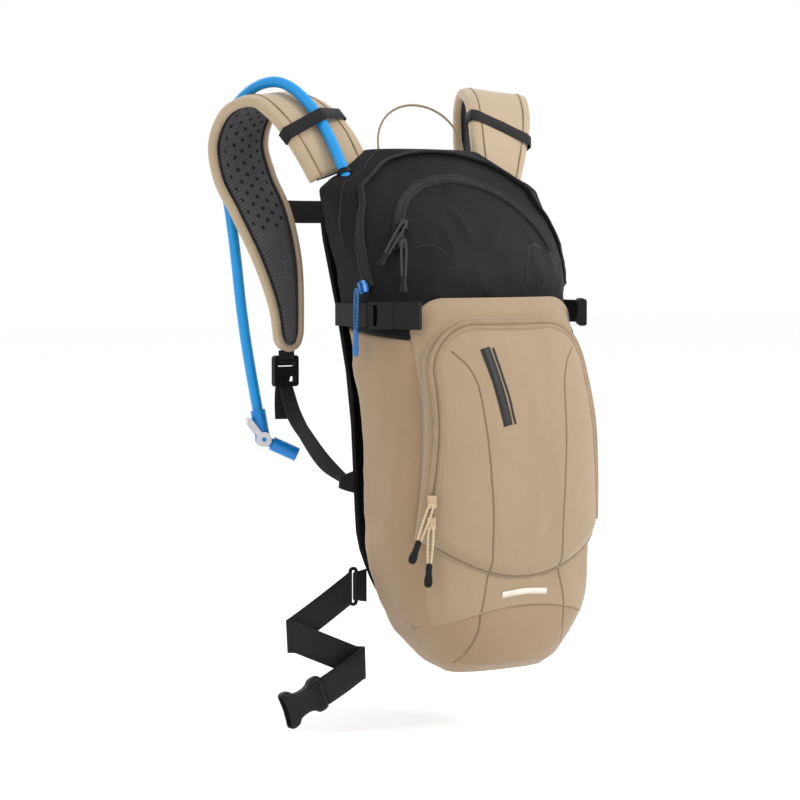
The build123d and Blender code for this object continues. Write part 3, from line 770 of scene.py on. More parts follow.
SEAM_PROFILE = [(-0.8, -0.6), (-0.55, 0.12), (-0.2, -0.15), (0.2, -0.15), (0.55, 0.12), (0.8, -0.6)]
# A zip under two cloth lips: lip, groove with the coil, lip.
ZIP_PROFILE = [(-5.2, -0.8), (-4.9, 0.7), (-3.6, 1.9), (-1.9, 2.1), (-0.9, 1.3), (0, 0.9),
               (0.9, 1.3), (1.9, 2.1), (3.6, 1.9), (4.9, 0.7), (5.2, -0.8)]
COIL_PROFILE = [(-0.9, 0.4), (-0.7, 1.2), (0, 1.5), (0.7, 1.2), (0.9, 0.4)]


def zip_run(name, points, outward, slot, coil, stands_for=()):
    raised_line(f"{name}_lips", points, outward, ZIP_PROFILE)
    keep(f"{name}_lips", "pack", slot, stands_for=stands_for)
    raised_line(f"{name}_coil", points, outward, COIL_PROFILE)
    keep(f"{name}_coil", "pack", material=coil)


def pocket_zip():
    loop = inset_loop(POCKET, POCKET_ZIP_INSET, POCKET_CENTRE)
    loop = np.roll(loop, -int(np.argmin(loop[:, 1])), axis=0)
    run = loop[loop[:, 1] > POCKET_ZIP_LOW]
    points = on_pocket(run[:, 0], run[:, 1], 0.4)
    zip_run("pocket_zip", points, front_outward(points), "zip_tan", DARK_SEAM, ["pocket_zipper"])


def seam(name, flat, place_on, material, step=2.5, proud=0.25):
    flat = resample(np.array(flat, float), step)
    points = place_on(flat[:, 0], flat[:, 1], proud)
    raised_line(name, points, front_outward(points), SEAM_PROFILE)
    keep(name, "pack", material=material)


def seam_pair(name, flat, *rest):
    """A seam and its mirror image."""
    seam(f"{name}_left", flat, *rest)
    seam(f"{name}_right", [(-x, z) for x, z in flat], *rest)


POCKET_ZIP_INSET, POCKET_ZIP_LOW = 6.5, 122
POCKET_SEAM = [(-64, 270), (-52, 257), (-45, 240), (-42, 205), (-39, 165), (-37, 125), (-37, 88)]


def front_seams():
    seam_pair("pocket_seam", POCKET_SEAM, on_pocket, DARK_SEAM)
    foot = [(x, 81.5 + 36 * (x / 95) ** 2) for x in np.linspace(-86, 86, 60)]
    seam("pocket_foot_seam", foot, on_pocket, DARK_SEAM)


def on_hood(x, z, proud=0.0):
    x, z = np.asarray(x, float), np.asarray(z, float)
    points = hood_spot(np.stack([x, front_y(x, z, SHELL), z], 1))
    return points + front_outward(points) * proud


def across_hood(line, low):
    """Where the hood meets an upright surface whose trace in Y and Z is the line."""
    line = np.array(line, float)
    left = np.r_[SHARES[(SHARES > 0.2) & (SHARES < 0.5)], 0.5]
    points = []
    for z in np.linspace(low, TOP - 1, 160):
        spots = ring(z, left)
        y = np.interp(z, line[:, 1], line[:, 0])
        if spots[-1, 1] > y:
            break
        points.append([np.interp(-y, -spots[:, 1], spots[:, 0]), y, z])
    points = np.array(points)
    points = np.vstack([points, (points[-1] * (0, 1, 1))])
    other = points[-2::-1] * (-1, 1, 1)
    return resample(np.vstack([points, other]), 2.5)


def hood_outward(points):
    """Rough outward direction on the hood's sides and top."""
    x, y, z = points.T
    return unit(points - np.stack([x * 0.25, 22 + (y - 22) * 0.1, np.minimum(z, 395)], 1))


def hood_zips():
    angle = np.linspace(math.radians(ARCH_FROM), math.radians(ARCH_TO), 120)
    points = on_hood(ARCH_HALF * np.cos(angle), ARCH_FOOT + ARCH_RISE * np.sin(angle), 0.3)
    zip_run("main_zip", points, front_outward(points), "zip_black", BLACK_SEAM, ["black_zippers"])
    points = across_hood(RESERVOIR_ZIP_LINE, RESERVOIR_ZIP_LOW)
    outward = hood_outward(points)
    zip_run("reservoir_zip", hood_spot(points) + outward * 0.3, outward, "zip_black", BLACK_SEAM)


def hood_seams():
    dart = [(-68, 354), (-56, 357), (-46, 354), (-40, 345), (-35, 334), (-30, 320)]
    seam_pair("hood_dart", dart, on_hood, BLACK_SEAM)
    points = across_hood(BACK_SEAM_LINE, BACK_SEAM_LOW)
    outward = hood_outward(points)
    raised_line("hood_back_seam", hood_spot(points) + outward * 0.2, outward, SEAM_PROFILE)
    keep("hood_back_seam", "pack", material=BLACK_SEAM)


def prints():
    """Two plain bars where the pocket carries a mark, and one on the lower panel."""
    for name, spots, half, shade in (
        ("pocket_bar_wide", [(-34, 272), (-27, 240), (-21, 208)], 4.6, PRINT_DARK),
        ("pocket_bar_thin", [(-26, 272), (-19.5, 240), (-13.5, 209)], 1.0, PRINT_DARK),
        ("label_bar", [(-24, 67), (0, 68.5), (24, 67)], 2.6, PRINT_LIGHT),
    ):
        flat = resample(np.array(spots, float), 2.0)
        lay = on_panel if name == "label_bar" else on_pocket
        points = lay(flat[:, 0], flat[:, 1], 0.35)
        section = [(-half, -0.3), (-half, 0.12), (half, 0.12), (half, -0.3)]
        raised_line(name, points, front_outward(points), section)
        keep(name, "pack", material=shade)


def on_foot(x, z, proud):
    return np.stack([x, front_y(x, z, SHELL) - proud, z], 1)


def lower_seams():
    seam_pair("foot_seam", [(-44, 57), (-45, 40), (-49, 24), (-55, 9)], on_foot, DARK_SEAM, 2.0, 0.2)
    seam_pair("label_seam", [(-44, 54), (-41, 70), (-37, 87)], on_panel, DARK_SEAM)


# ---------------------------------------------------------------- shoulder straps

STRAP_ROOT = (92, 64)
STRAP_DIRECTION = (0.45, 0.89)
# Distance along the strap's upright plane, height, half width, width direction.
STRAP_STATIONS = [
    (-15, 420, 29, (0.82, 0.0, 0.57)),
    (2, 447, 32, (0.84, 0.15, 0.45)),
    (25, 471, 33, (0.90, 0.25, 0.25)),
    (50, 482, 33, (0.93, 0.30, 0.10)),
    (75, 471, 33, (0.95, 0.25, 0.00)),
    (86, 446, 33, (0.98, 0.15, 0.00)),
    (80, 416, 33, (1.0, 0.05, 0.0)),
    (64, 386, 31, (1.0, 0.0, 0.0)),
    (46, 340, 24, (1.0, 0.0, 0.0)),
    (38, 300, 17, (1.0, 0.0, 0.0)),
    (36, 264, 14, (1.0, 0.0, 0.0)),
]
RIGHT_SPLAY, RIGHT_LIFT = 10, 9
STRAP_END = 14
BINDING = 3.8
COVER_MARGIN, MESH_MARGIN = 1.0, 7.6
STITCH_INSET = 9.5
# One half of each padded skin's section: share of the half width, and height.
COVER_SECTION = [(1, 0.4), (0.97, 2.6), (0.86, 4.4), (0.6, 5.3), (0.3, 5.7), (0, 5.8)]
MESH_SECTION = [(1, 0.4), (0.97, 2.6), (0.88, 4.4), (0.6, 5.3), (0.3, 5.5), (0, 5.5)]
SECTION_BASE = [(0.5, 0.3), (0, 0.3), (-0.5, 0.3)]
HOLE_RADIUS, HOLE_PITCH = 1.9, 5.6
HOLES_FROM, HOLES_TO, HOLES_MARGIN = 62, 232, 11
# The straps leave the pack toward the wearer, between these two places along Y.
ROOT_BEND = (place((0, 51, 440)), place((0, 73, 440)))


def flowing(points, step):
    """A rounded curve through every point, sampled every step millimetres or so."""
    points = np.asarray(points, float)
    length = travelled(points[:, :3])
    slope = np.gradient(points, length, axis=0)
    spots = np.linspace(0, length[-1], max(4, int(length[-1] / step) + 1))
    i = np.clip(np.searchsorted(length, spots) - 1, 0, len(length) - 2)
    gap = (length[i + 1] - length[i])[:, None]
    t = (spots[:, None] - length[i][:, None]) / gap
    return hermite(t, gap, points[i], points[i + 1], slope[i], slope[i + 1])


class Strap:
    """Centre, width direction, outward direction and half width along one strap."""

    def __init__(self, side):
        splay, lift = (RIGHT_SPLAY, RIGHT_LIFT) if side > 0 else (0, 0)
        rows = []
        for along, height, half, width in STRAP_STATIONS:
            rising = min(1.0, max(0.0, (height - 420) / 40))
            spread = min(1.0, max(0.0, (along + 15) / 30))
            x = STRAP_ROOT[0] + STRAP_DIRECTION[0] * along + splay * spread
            y = STRAP_ROOT[1] + STRAP_DIRECTION[1] * along
            rows.append((-x, y, height + lift * rising, half, *width))
        dense = flowing(rows, 4.0)
        self.centre, self.half, width = dense[:, :3], dense[:, 3], dense[:, 4:]
        way = tangents(self.centre)
        self.width = squared(way, width)
        self.outward = np.cross(self.width, way)
        self.along = travelled(self.centre)
        left = np.clip((self.along[-1] - self.along) / STRAP_END, 0, 1)
        self.share = np.sqrt(np.clip(1 - (1 - left) ** 2, 0.002, 1))
        self.side = side
        self.word = "right" if side > 0 else "left"

    def spot(self, along, u, v):
        """A point at a length along the strap, u across it and v out from it."""
        along = np.atleast_1d(np.asarray(along, float))
        parts = [np.stack([np.interp(along, self.along, values[:, k]) for k in range(3)], 1)
                 for values in (self.centre, self.width, self.outward)]
        u, v = np.broadcast_to(u, along.shape)[:, None], np.broadcast_to(v, along.shape)[:, None]
        points = parts[0] + parts[1] * u + parts[2] * v
        return points * (-self.side, 1, 1), parts[2] * (-self.side, 1, 1)

    def layer(self, name, margin, section, sign, slot, stands_for, amount, seed):
        """A padded skin on one face of the strap."""
        outline = [(-u, v) for u, v in section[:-1]] + section[::-1] + SECTION_BASE
        shares, heights = np.array(outline).T
        heights = heights * sign
        rows = []
        for k, share in enumerate(self.share):
            half = max(0.4, (self.half[k] - margin) * share)
            row = self.centre[k] + self.width[k] * (shares * half)[:, None]
            rows.append(row + self.outward[k] * (heights * (0.35 + 0.65 * share))[:, None])
        rows = np.array(rows)
        flat = rows.reshape(-1, 3)
        sway = (creases(flat, 26, seed) + 0.5 * noise(flat, 9, seed + 1)).reshape(rows.shape[:2])
        sway = sway * amount * (np.abs(shares) < 0.9)[None, :] * np.sign(heights)[None, :]
        rows = rows + self.outward[:, None, :] * sway[:, :, None]
        grid_object(name, rows * (-self.side, 1, 1), flip=self.side < 0)
        return self.finish(name, slot, stands_for=stands_for)

    def finish(self, name, slot=None, material=None, stands_for=()):
        """Finishes a piece; it rides on no body, its place baked into its mesh."""
        return keep(name, ("pack", "harness"), slot, material, stands_for, ROOT_BEND)

    def edge_line(self, inset, v):
        """A line round the strap's edge, inset from it, and its outward directions."""
        turn_at = self.along[-1] - STRAP_END
        up = self.along[self.along <= turn_at]
        half = np.interp(up, self.along, self.half) - inset
        first, out = self.spot(up, -half, v)
        last, _ = self.spot(up[::-1], half[::-1], v)
        angles = np.linspace(0, math.pi, 13)[1:-1]
        radius = STRAP_END - inset
        bend, out_bend = self.spot(turn_at + radius * np.sin(angles), -radius * np.cos(angles), v)
        return np.vstack([first, bend, last]), np.vstack([out, out_bend, out[::-1]])

    def roll(self, name, inset, v, across, out, slot=None, material=None):
        points, outward = self.edge_line(inset, v)
        way = tangents(points)
        outward = squared(way, outward)
        sweep(name, points, np.cross(outward, way), outward, round_profile(across, out, 12))
        self.finish(name, slot, material)

    def holes(self):
        """Rows of small round dark discs on the air mesh over the shoulder: painted shade where its holes
        are.
        """
        points, faces = [], []
        c, s = circle(10)
        for row, along in enumerate(np.arange(HOLES_FROM, HOLES_TO, HOLE_PITCH)):
            half = float(np.interp(along, self.along, self.half)) - HOLES_MARGIN
            for share in (-0.78, 0.0, 0.78) if row % 2 else (-0.39, 0.39):
                depth = -5.75 + 1.2 * abs(share) ** 3
                spots, _ = self.spot(along + HOLE_RADIUS * s, share * half + HOLE_RADIUS * c, depth)
                faces.append(tuple(range(len(points), len(points) + 10)))
                points.extend(spots)
        name = f"strap_holes_{self.word}"
        mesh_object(name, points, faces)
        keep(name, "harness", material=HOLE_SHADE)

    def build(self):
        word = self.word
        cover = self.layer(f"strap_cover_{word}", COVER_MARGIN, COVER_SECTION, 1, "strap_fabric",
                           [f"strap_shell_{word}"], 0.5, 21)
        mesh = self.layer(f"strap_air_mesh_{word}", MESH_MARGIN, MESH_SECTION, -1, "mesh_fabric",
                          [f"strap_mesh_{word}"], 0.25, 31)
        self.roll(f"strap_binding_{word}", BINDING, -1.2, BINDING, 4.6, "strap_fabric")
        self.roll(f"strap_piping_{word}", 2 * BINDING + 0.9, -4.4, 0.9, 0.9, material=EDGE_DARK)
        self.roll(f"strap_stitch_{word}", STITCH_INSET, 5.2, 0.5, 0.45, material=DARK_SEAM)
        self.holes()


def turning(a, b, c):
    """Positive where the way from a through b to c turns left."""
    return (b[0] - a[0]) * (c[1] - a[1]) - (b[1] - a[1]) * (c[0] - a[0])


def hull(points):
    """The outline of flat points, counter-clockwise."""
    ordered = sorted(map(tuple, points))
    sides = []
    for run in (ordered, ordered[::-1]):
        side = []
        for point in run:
            while len(side) > 1 and turning(side[-2], side[-1], point) <= 0:
                side.pop()
            side.append(point)
        sides.append(side[:-1])
    return np.array(sides[0] + sides[1])


TUBE_ROUTE = [
    (-90, 33, 412), (-91, 49, 440), (-98, 71, 474), (-109, 97, 497), (-120, 120, 497), (-130, 140, 483),
    (-137, 153, 458), (-139, 153, 425), (-137, 145, 392), (-135, 138, 350), (-132, 134, 302),
    (-127, 130, 256), (-121, 125, 213),
]
TUBE_DIAMETER = 9.5
TUBE_BEND = (place((-90, 37, 420)), place((-90, 75, 420)))
# Past this many millimetres the tube's route comes back down, away from the band.
ROUTE_BACK = 200
BAND_AT = 46
BAND_LENGTH = 12
# A band's section: share of its length, and how proud of the strap it stands.
BAND_SECTION = ((-0.5, 0.1), (-0.47, 0.8), (0.47, 0.8), (0.5, 0.1), (0.47, 0.02), (-0.47, 0.02))


def strap_band(strap, over_tube):
    """An elastic band drawn tight round the strap, and over the tube where it passes."""
    centre, outward = strap.spot(BAND_AT, 0, 0)
    side, _ = strap.spot(BAND_AT, 1, 0)
    after, _ = strap.spot(BAND_AT + 1, 0, 0)
    centre, outward, width = centre[0], outward[0], unit(side[0] - centre[0])
    way = unit(np.cross(outward, width))
    half = float(np.interp(BAND_AT, strap.along, strap.half))
    corners = [(u, v) for u in (-half - 0.4, half + 0.4) for v in (-4.6, 4.4)]
    corners += [(u, v) for u in (-half * 0.86, half * 0.86) for v in (-6.2, 6.3)]
    if over_tube:
        route = flowing(TUBE_ROUTE, 1.0)
        gap = np.abs((route - centre) @ way)
        gap[ROUTE_BACK:] = np.inf
        spot = route[np.argmin(gap)] - centre
        around = round_profile(TUBE_DIAMETER / 2 + 0.7, TUBE_DIAMETER / 2 + 0.7, 14)
        corners += [(spot @ width + a, spot @ outward + b) for a, b in around]
    loop = hull(corners)
    loop = np.vstack([loop, loop[:1]])
    length = travelled(loop)
    spots = np.linspace(0, length[-1], 90)[:-1]
    flat = np.stack([np.interp(spots, length, loop[:, k]) for k in (0, 1)], 1)
    middle = flat.mean(axis=0)
    rows = []
    for along, proud in BAND_SECTION:
        grown = flat + unit(flat - middle) * proud
        rows.append(centre + width * grown[:, :1] + outward * grown[:, 1:] + way * along * BAND_LENGTH)
    rows.append(rows[0])
    name = f"tube_band_{strap.word}"
    grid_object(name, rows, caps=False, flip=strap.side > 0)
    keep(name, "harness", "black_webbing", stands_for=["tube_bands"] if over_tube else ())


def curve_object(name, route, diameter):
    """A round cord or tube along a smooth line with these control points."""
    data = bpy.data.curves.new(name, "CURVE")
    data.dimensions = "3D"
    data.bevel_depth = diameter / 2000
    data.bevel_resolution = 5
    data.resolution_u = 12
    data.use_fill_caps = True
    spline = data.splines.new("NURBS")
    spline.points.add(len(route) - 1)
    for point, spot in zip(spline.points, place(route)):
        point.co = (*spot, 1)
    spline.order_u = 3
    spline.use_endpoint_u = True
    return new_object(name, data)


def drinking_tube():
    """The tube as one fixed mesh along its route from the pack down the harness; it rides on no body."""
    curve = curve_object("tube_line", TUBE_ROUTE, TUBE_DIAMETER)
    bpy.context.view_layer.update()
    ready = curve.evaluated_get(bpy.context.evaluated_depsgraph_get())
    mesh = bpy.data.meshes.new_from_object(ready)
    bpy.data.objects.remove(curve)
    mesh.materials.clear()
    smooth_faces(mesh)
    new_object("tube_blue", mesh)
    piece = keep("tube_blue", ("pack", "harness"), "blue_tube", stands_for=["drinking_tube"], bend=TUBE_BEND)


# ---------------------------------------------------------------- webbing


WEB_THICK, TAIL_THICK = 1.5, 1.4
LOWER_HALF, LOCK_HALF, COMPRESSION_HALF, STERNUM_HALF = 6.6, 8.0, 9.8, 10
# Routes on the left side: from the pack to the ladder lock, its loose tail, the loop that
# hangs the lock, and the compression strap.
LOWER_ROUTE = [(-110.2, 8, 159.5), (-110.4, 36, 172), (-110.6, 62, 191), (-110.8, 85, 213), (-111, 96, 236)]
TAIL_ROUTE = [(-111, 98.5, 243), (-111, 101.5, 236), (-111.5, 102.5, 222), (-112, 101, 206)]
LOCK_ROUTE = [(-111, 94.6, 266), (-111, 95, 257), (-111, 96.8, 253)]
COMPRESSION_ROUTE = [(-112.6, 17, 299), (-113.7, 0, 299), (-113.9, -15, 299), (-113.2, -30.2, 299)]
STERNUM_ROUTES = {
    "left": [(-124, 134, 386), (-98, 136, 386), (-60, 136.3, 385.6), (-21, 134, 386)],
    "right": [(135, 134, 386), (105, 136, 386), (66, 136, 385.7), (29, 134, 386)],
}
# How far the lower strap twists along its length: share of the way, and degrees.
TWIST = ([0, 0.35, 0.6, 1], [0, 55, 75, 0])


def between(name, centres, sideways, half, thick, slot, a, b=None, stands_for=()):
    """A length of webbing on one body, or, with a second body named, on no body, its place baked into its
    mesh.
    """
    centres = np.asarray(centres, float)
    strap_piece(name, centres, np.broadcast_to(sideways, centres.shape), half, thick)
    if b is None:
        keep(name, a, slot, stands_for=stands_for)
    else:
        keep(name, (a, b), slot, stands_for=stands_for, bend=(place(centres[0]), place(centres[-1])))


def on_side(route, step, side, splay=0.0):
    """A route on the left, or mirrored on the right and moved out with its strap."""
    points = flowing(route, step)
    points[:, 0] -= splay * ease((points[:, 2] - 165) / 60)
    return points * (side, 1, 1)


def webbings():
    for side, word, splay in ((1, "left", 0), (-1, "right", RIGHT_SPLAY)):
        low = on_side(LOWER_ROUTE, 3.0, side, splay)
        angle = np.radians(np.interp(np.linspace(0, 1, len(low)), *TWIST))
        turned = np.stack([np.cos(angle), -0.4 * np.sin(angle), np.sin(angle)], 1)
        between(f"lower_strap_{word}", low, turned * (side, 1, 1), LOWER_HALF, WEB_THICK,
                "black_webbing", "pack", "harness", [f"lower_webbing_{word}"])
        between(f"lower_tail_{word}", on_side(TAIL_ROUTE, 3.0, side, splay), (side, 0, 0),
                LOWER_HALF, TAIL_THICK, "black_webbing", "harness")
        between(f"lock_loop_{word}", on_side(LOCK_ROUTE, 2.0, side, splay), (side, 0, 0),
                LOCK_HALF, WEB_THICK, "black_webbing", "harness")
        between(f"compression_strap_{word}", on_side(COMPRESSION_ROUTE, 3.0, side), (0, 0, 1),
                COMPRESSION_HALF, WEB_THICK, "black_webbing", "pack", f"compression_plug_{word}",
                [f"compression_webbing_{word}"])
    for word, end in (("left", None), ("right", "sternum_plug")):
        between(f"sternum_strap_{word}", flowing(STERNUM_ROUTES[word], 4.0), (0, 0, 1), STERNUM_HALF,
                WEB_THICK, "black_webbing", "harness", end, [f"sternum_webbing_{word}"])


# The left belt's runs in X and Z, and the Y each one lies at.
LEFT_RUNS = [
    ((-107.6, 69), (-170, 34), 3),
    ((-170, 34), (-105, 6.5), -4),
    ((-105, 6.5), (-146, -14), -11),
]
BELT_HALF, BELT_THICK = 12.2, 1.8


def run_way(run):
    return unit(np.subtract(run[1], run[0]).astype(float))


def folded_belt():
    """Webbing that hangs in flat runs, each doubled back on the one before."""
    rows, normals = [], []
    shares = np.array([-1, -0.5, 0, 0.5, 1])
    facing = 1.0
    way = run_way(LEFT_RUNS[0])
    across = np.array((-way[1], way[0]))
    fold = np.array((0.0, 1.0))
    for index, (start, end, y) in enumerate(LEFT_RUNS):
        start, end = np.array(start, float), np.array(end, float)
        way = run_way(LEFT_RUNS[index])
        ahead = None
        if index + 1 < len(LEFT_RUNS):
            ahead = unit(way + run_way(LEFT_RUNS[index + 1]))
            if ahead @ across < 0:
                ahead = -ahead
        near = start + fold * (shares * BELT_HALF / (fold @ across))[:, None]
        last = across if ahead is None else ahead
        far = end + last * (shares * BELT_HALF / (last @ across))[:, None]
        for t in np.linspace(0.02, 0.98, 14):
            flat = near + (far - near) * t
            sag = 1.1 * math.sin(math.pi * t) * facing
            rows.append(np.stack([flat[:, 0], np.full(5, y - sag), flat[:, 1]], 1))
            normals.append((0, -facing, 0))
        if ahead is None:
            break
        beyond = unit(way - ahead * (way @ ahead))
        gap = LEFT_RUNS[index + 1][2] - y
        for angle in np.linspace(0.15, 0.85, 6) * math.pi:
            lift = abs(gap) / 2 * math.sin(angle)
            depth = y + gap * (1 - math.cos(angle)) / 2
            flat = far + beyond * lift
            rows.append(np.stack([flat[:, 0], np.full(5, depth), flat[:, 1]], 1))
            normals.append((beyond[0] * math.sin(angle), -facing * math.cos(angle),
                            beyond[1] * math.sin(angle)))
        across = 2 * (across @ ahead) * ahead - across
        fold = ahead
        facing = -facing
    rings = []
    for row, normal in zip(rows, normals):
        out = np.array(normal, float) * BELT_THICK / 2
        rings.append(np.vstack([row + out, row[::-1] - out]))
    grid_object("belt_left_web", rings)
    keep("belt_left_web", "belt_left", "black_webbing", stands_for=["belt_webbing_left"])


RING_X, RING_Y, RING_Z = 105, 3, 70
RING_HALF, RING_CORNER = (0.6, 12.8), 2.4
RIGHT_BELT = [(105, 3.4), (102.6, 6), (101.5, 14), (101.5, 68), (100.9, 75.6), (99, 78.2), (97.1, 75.6),
              (96.5, 68), (96.5, 32), (95.8, 25), (93.6, 23.2), (91.4, 25), (90.7, 32), (90.7, 55)]


def belts():
    folded_belt()
    belt_buckle()
    path = flowing([(x, y, RING_Z) for x, y in RIGHT_BELT], 1.6)
    between("belt_right_web", path, (0, 0, 1), BELT_HALF, BELT_THICK, "black_webbing", "belt_right",
            stands_for=["belt_webbing_right"])
    for side, body in ((-1, "belt_left"), (1, "belt_right")):
        loop = []
        for x, z, turn_from in ((1, 1, 0), (-1, 1, 90), (-1, -1, 180), (1, -1, 270)):
            for degree in (0, 30, 60, 90):
                angle = math.radians(turn_from + degree)
                loop.append((side * RING_X + x * RING_HALF[0] + RING_CORNER * math.cos(angle), RING_Y,
                             RING_Z + z * RING_HALF[1] + RING_CORNER * math.sin(angle)))
        loop = np.array(loop + loop[:1])
        way = tangents(loop)
        way[0] = way[-1] = unit(loop[1] - loop[-2])
        across = np.broadcast_to((0.0, 1.0, 0.0), loop.shape)
        name = f"belt_ring_{body[5:]}"
        sweep(name, loop, across, np.cross(across, way), round_profile(1.9, 1.5, 8), caps=False)
        keep(name, body, "black_plastic")


SOCKET_SPOT, SOCKET_WAY = np.array((-184.0, -11.0, -27.0)), unit(np.array((0.93, 0.0, 0.35)))
# Distance from the mouth, half width and half thickness, for its inside and its outside.
SOCKET_INSIDE = np.array([(9, 12.6, 3.4), (1.6, 13.6, 3.7), (0.5, 13.9, 3.9)])
SOCKET_OUTSIDE = np.array([(0.3, 14.6, 4.6), (1.2, 15.4, 5.2), (6, 16.0, 5.4), (9, 15.0, 5.3),
                           (12, 11.6, 5.2), (17, 10.2, 5.1), (24, 10.4, 5.0), (28, 12.0, 5.0),
                           (31, 14.6, 4.9), (36, 15.2, 4.6), (39, 14.8, 4.0), (40.6, 13.8, 3.2)])
SOCKET_RIBS = (29.5, 33.0, 36.5)


def belt_buckle():
    """The belt's socket: a waisted shell with a wide hollow mouth, and ribs for grip."""
    way = SOCKET_WAY
    wide, deep = np.array((-way[2], 0.0, way[0])), np.array((0.0, 1.0, 0.0))
    c, s = circle(48)
    across, out = powered(c, 0.35), powered(s, 0.5)
    rows = []
    for reach, half, thick in np.vstack([SOCKET_INSIDE, flowing(SOCKET_OUTSIDE, 1.2)]):
        bow = 1.8 * (1 - across**2) * math.exp(-reach / 5)
        rows.append(SOCKET_SPOT + way * reach + way * bow[:, None] + wide * (across * half)[:, None]
                    + deep * (out * thick)[:, None])
    grid_object("belt_socket_shell", rows)
    keep("belt_socket_shell", "belt_left", "black_plastic", stands_for=["belt_socket"])
    for rank, reach in enumerate(SOCKET_RIBS):
        middle = SOCKET_SPOT + way * reach - deep * 4.7
        spots = np.array([middle + wide * u for u in np.linspace(-11, 11, 12)])
        name = f"belt_socket_rib_{rank}"
        sweep(name, spots, np.broadcast_to(way, spots.shape), np.broadcast_to(-deep, spots.shape),
              round_profile(1.0, 0.7, 8))
        keep(name, "belt_left", "black_plastic")


# X and Y of the tabs on the right side. Each tapers along its length.
LOOP_HALF, LOOP_LEAN, LOOP_RISE, LOOP_FOOT = 45.6, 8, 39.6, 7
STRAP_TAB = [(103, 4.6, 158), (109, 5.2, 158), (117, 5.4, 158.5)]
BELT_TAB = [(92, 2.6, 70), (97, 3, 70), (102.5, 3, 70), (104.6, 3, 70)]


def tab(name, route, side, half, thick, start, end, stands_for):
    """A sewn tab whose width goes from one multiple to another."""
    line = flowing(np.array(route) * (side, 1, 1), 1.4)
    widths = [(start + (end - start) * t, 1) for t in np.linspace(0, 1, len(line))]
    strap_piece(name, line, np.broadcast_to((0, 0, 1), line.shape), half, thick, widths)
    keep(name, "pack", "black_webbing", stands_for=[stands_for] if side < 0 else ())


def loop_and_tabs():
    angle = np.linspace(math.pi, 0, 40)
    x = LOOP_HALF * np.cos(angle) - LOOP_LEAN * np.sin(angle)
    z = TOP + LOOP_RISE * np.sin(angle) ** 0.9
    points = np.stack([x, np.full(40, 49.0), z], 1)
    points = np.vstack([points[0] - (0, 0, LOOP_FOOT), points, points[-1] - (0, 0, LOOP_FOOT)])
    between("haul_ribbon", points, (-0.588, -0.809, 0), 5.6, 1.5, "tan_webbing", "pack",
            stands_for=["haul_loop"])
    for side, word in ((-1, "left"), (1, "right")):
        tab(f"anchor_tab_{word}", STRAP_TAB, side, 9.5, 2.6, 1, 0.55, "strap_anchor_tabs")
        tab(f"belt_anchor_{word}", BELT_TAB, side, 11.8, 2.3, 1.2, 1, "belt_tabs")


# ---------------------------------------------------------------- back panel, pads and bladder


BACK = 2
# From a pad's edge inward: share of its size, and share of its thickness.
PAD_ROWS = ((0.97, 0.0), (1.0, 0.22), (0.985, 0.55), (0.95, 0.8), (0.88, 0.93), (0.75, 1.0),
            (0.55, 1.0), (0.35, 0.97), (0.12, 0.95), (0.01, 0.95))
SHEET_PROUD, SHEET_THICK = 0.8, 5.4
PAD_PROUD, PAD_THICK, PAD_WIDTH, PAD_X = 6.4, 8.2, 66, 45
PAD_HEIGHTS = ((102, 84), (196, 80), (288, 84))
# Height, half width and thickness.
BLADDER = np.array([(52, 40, 10), (72, 66, 24), (120, 75, 30), (200, 77, 32), (274, 74, 28), (326, 58, 20),
                    (350, 34, 8)], float)
BLADDER_GAP = 4.4


def pillow(name, edge, proud, thick, slot, stands_for, seed, amount):
    """A stuffed pad on the pack's back, inside an outline in X and Z."""
    middle = edge.mean(axis=0)
    rows = []
    for share, lift in PAD_ROWS:
        x, z = (middle + (edge - middle) * share).T
        row = np.stack([x, row_at(z, BACK) + proud + thick * lift, z], 1)
        if lift > 0.7:
            row[:, 1] += amount * creases(row, 22, seed)
        rows.append(row)
    grid_object(name, rows)
    keep(name, "pack", slot, stands_for=stands_for)


def rounded_box(x, z, width, height, power):
    c, s = circle(72)
    return np.stack([x - width / 2 * powered(c, 2 / power), z + height / 2 * powered(s, 2 / power)], 1)


def panel_outline():
    """The back panel's outline, narrowed at its foot and cut off at its shoulders."""
    c, s = circle(72)
    z = 231 + 205 * powered(s, 0.42)
    half = row_at(np.clip(z, 22, 436), 1) - 2.5
    return np.stack([-half * powered(c, 0.35), z], 1)


def back_pieces():
    pillow("back_sheet", panel_outline(), SHEET_PROUD, SHEET_THICK, "black_fabric", ["back_panel"], 41, 0.5)
    number = 0
    for height, length in PAD_HEIGHTS:
        for side in (-1, 1):
            number += 1
            edge = rounded_box(side * PAD_X, height, PAD_WIDTH, length, 4.2)
            pillow(f"back_pad_{number}", edge, PAD_PROUD, PAD_THICK, "mesh_fabric",
                   ["back_pads"] if number == 1 else (), 50 + number, 0.7)
    c, s = circle(60)
    rows = []
    for z in np.linspace(52.5, 349.5, 60):
        half, thick = (smooth(BLADDER[:, 0], BLADDER[:, k], [z])[0] for k in (1, 2))
        rear = np.interp(z, STATIONS[:, 0], STATIONS[:, BACK]) - BLADDER_GAP
        x = (half - 0.6) * powered(c, 0.8)
        y = rear - thick / 2 + (thick / 2 - 0.5) * powered(s, 0.8)
        rows.append(np.stack([x, y, np.full(60, z)], 1))
    grid_object("bladder", rows, flip=True)
    keep("bladder", "pack", "clear_film", stands_for=["reservoir_bag"])


# ---------------------------------------------------------------- sliders and pulls

# The doubled cord's half spread at distances down from its head.
CORD_SPREAD = [(0.0, 1.5), (3.2, 1.9), (9.0, 2.2)]
CORD_MIDDLE_SPREAD, CORD_FOOT_SPREAD = 2.0, 1.4
CORD_DIAMETER = 1.8
BAIL_LIFT = 3.4
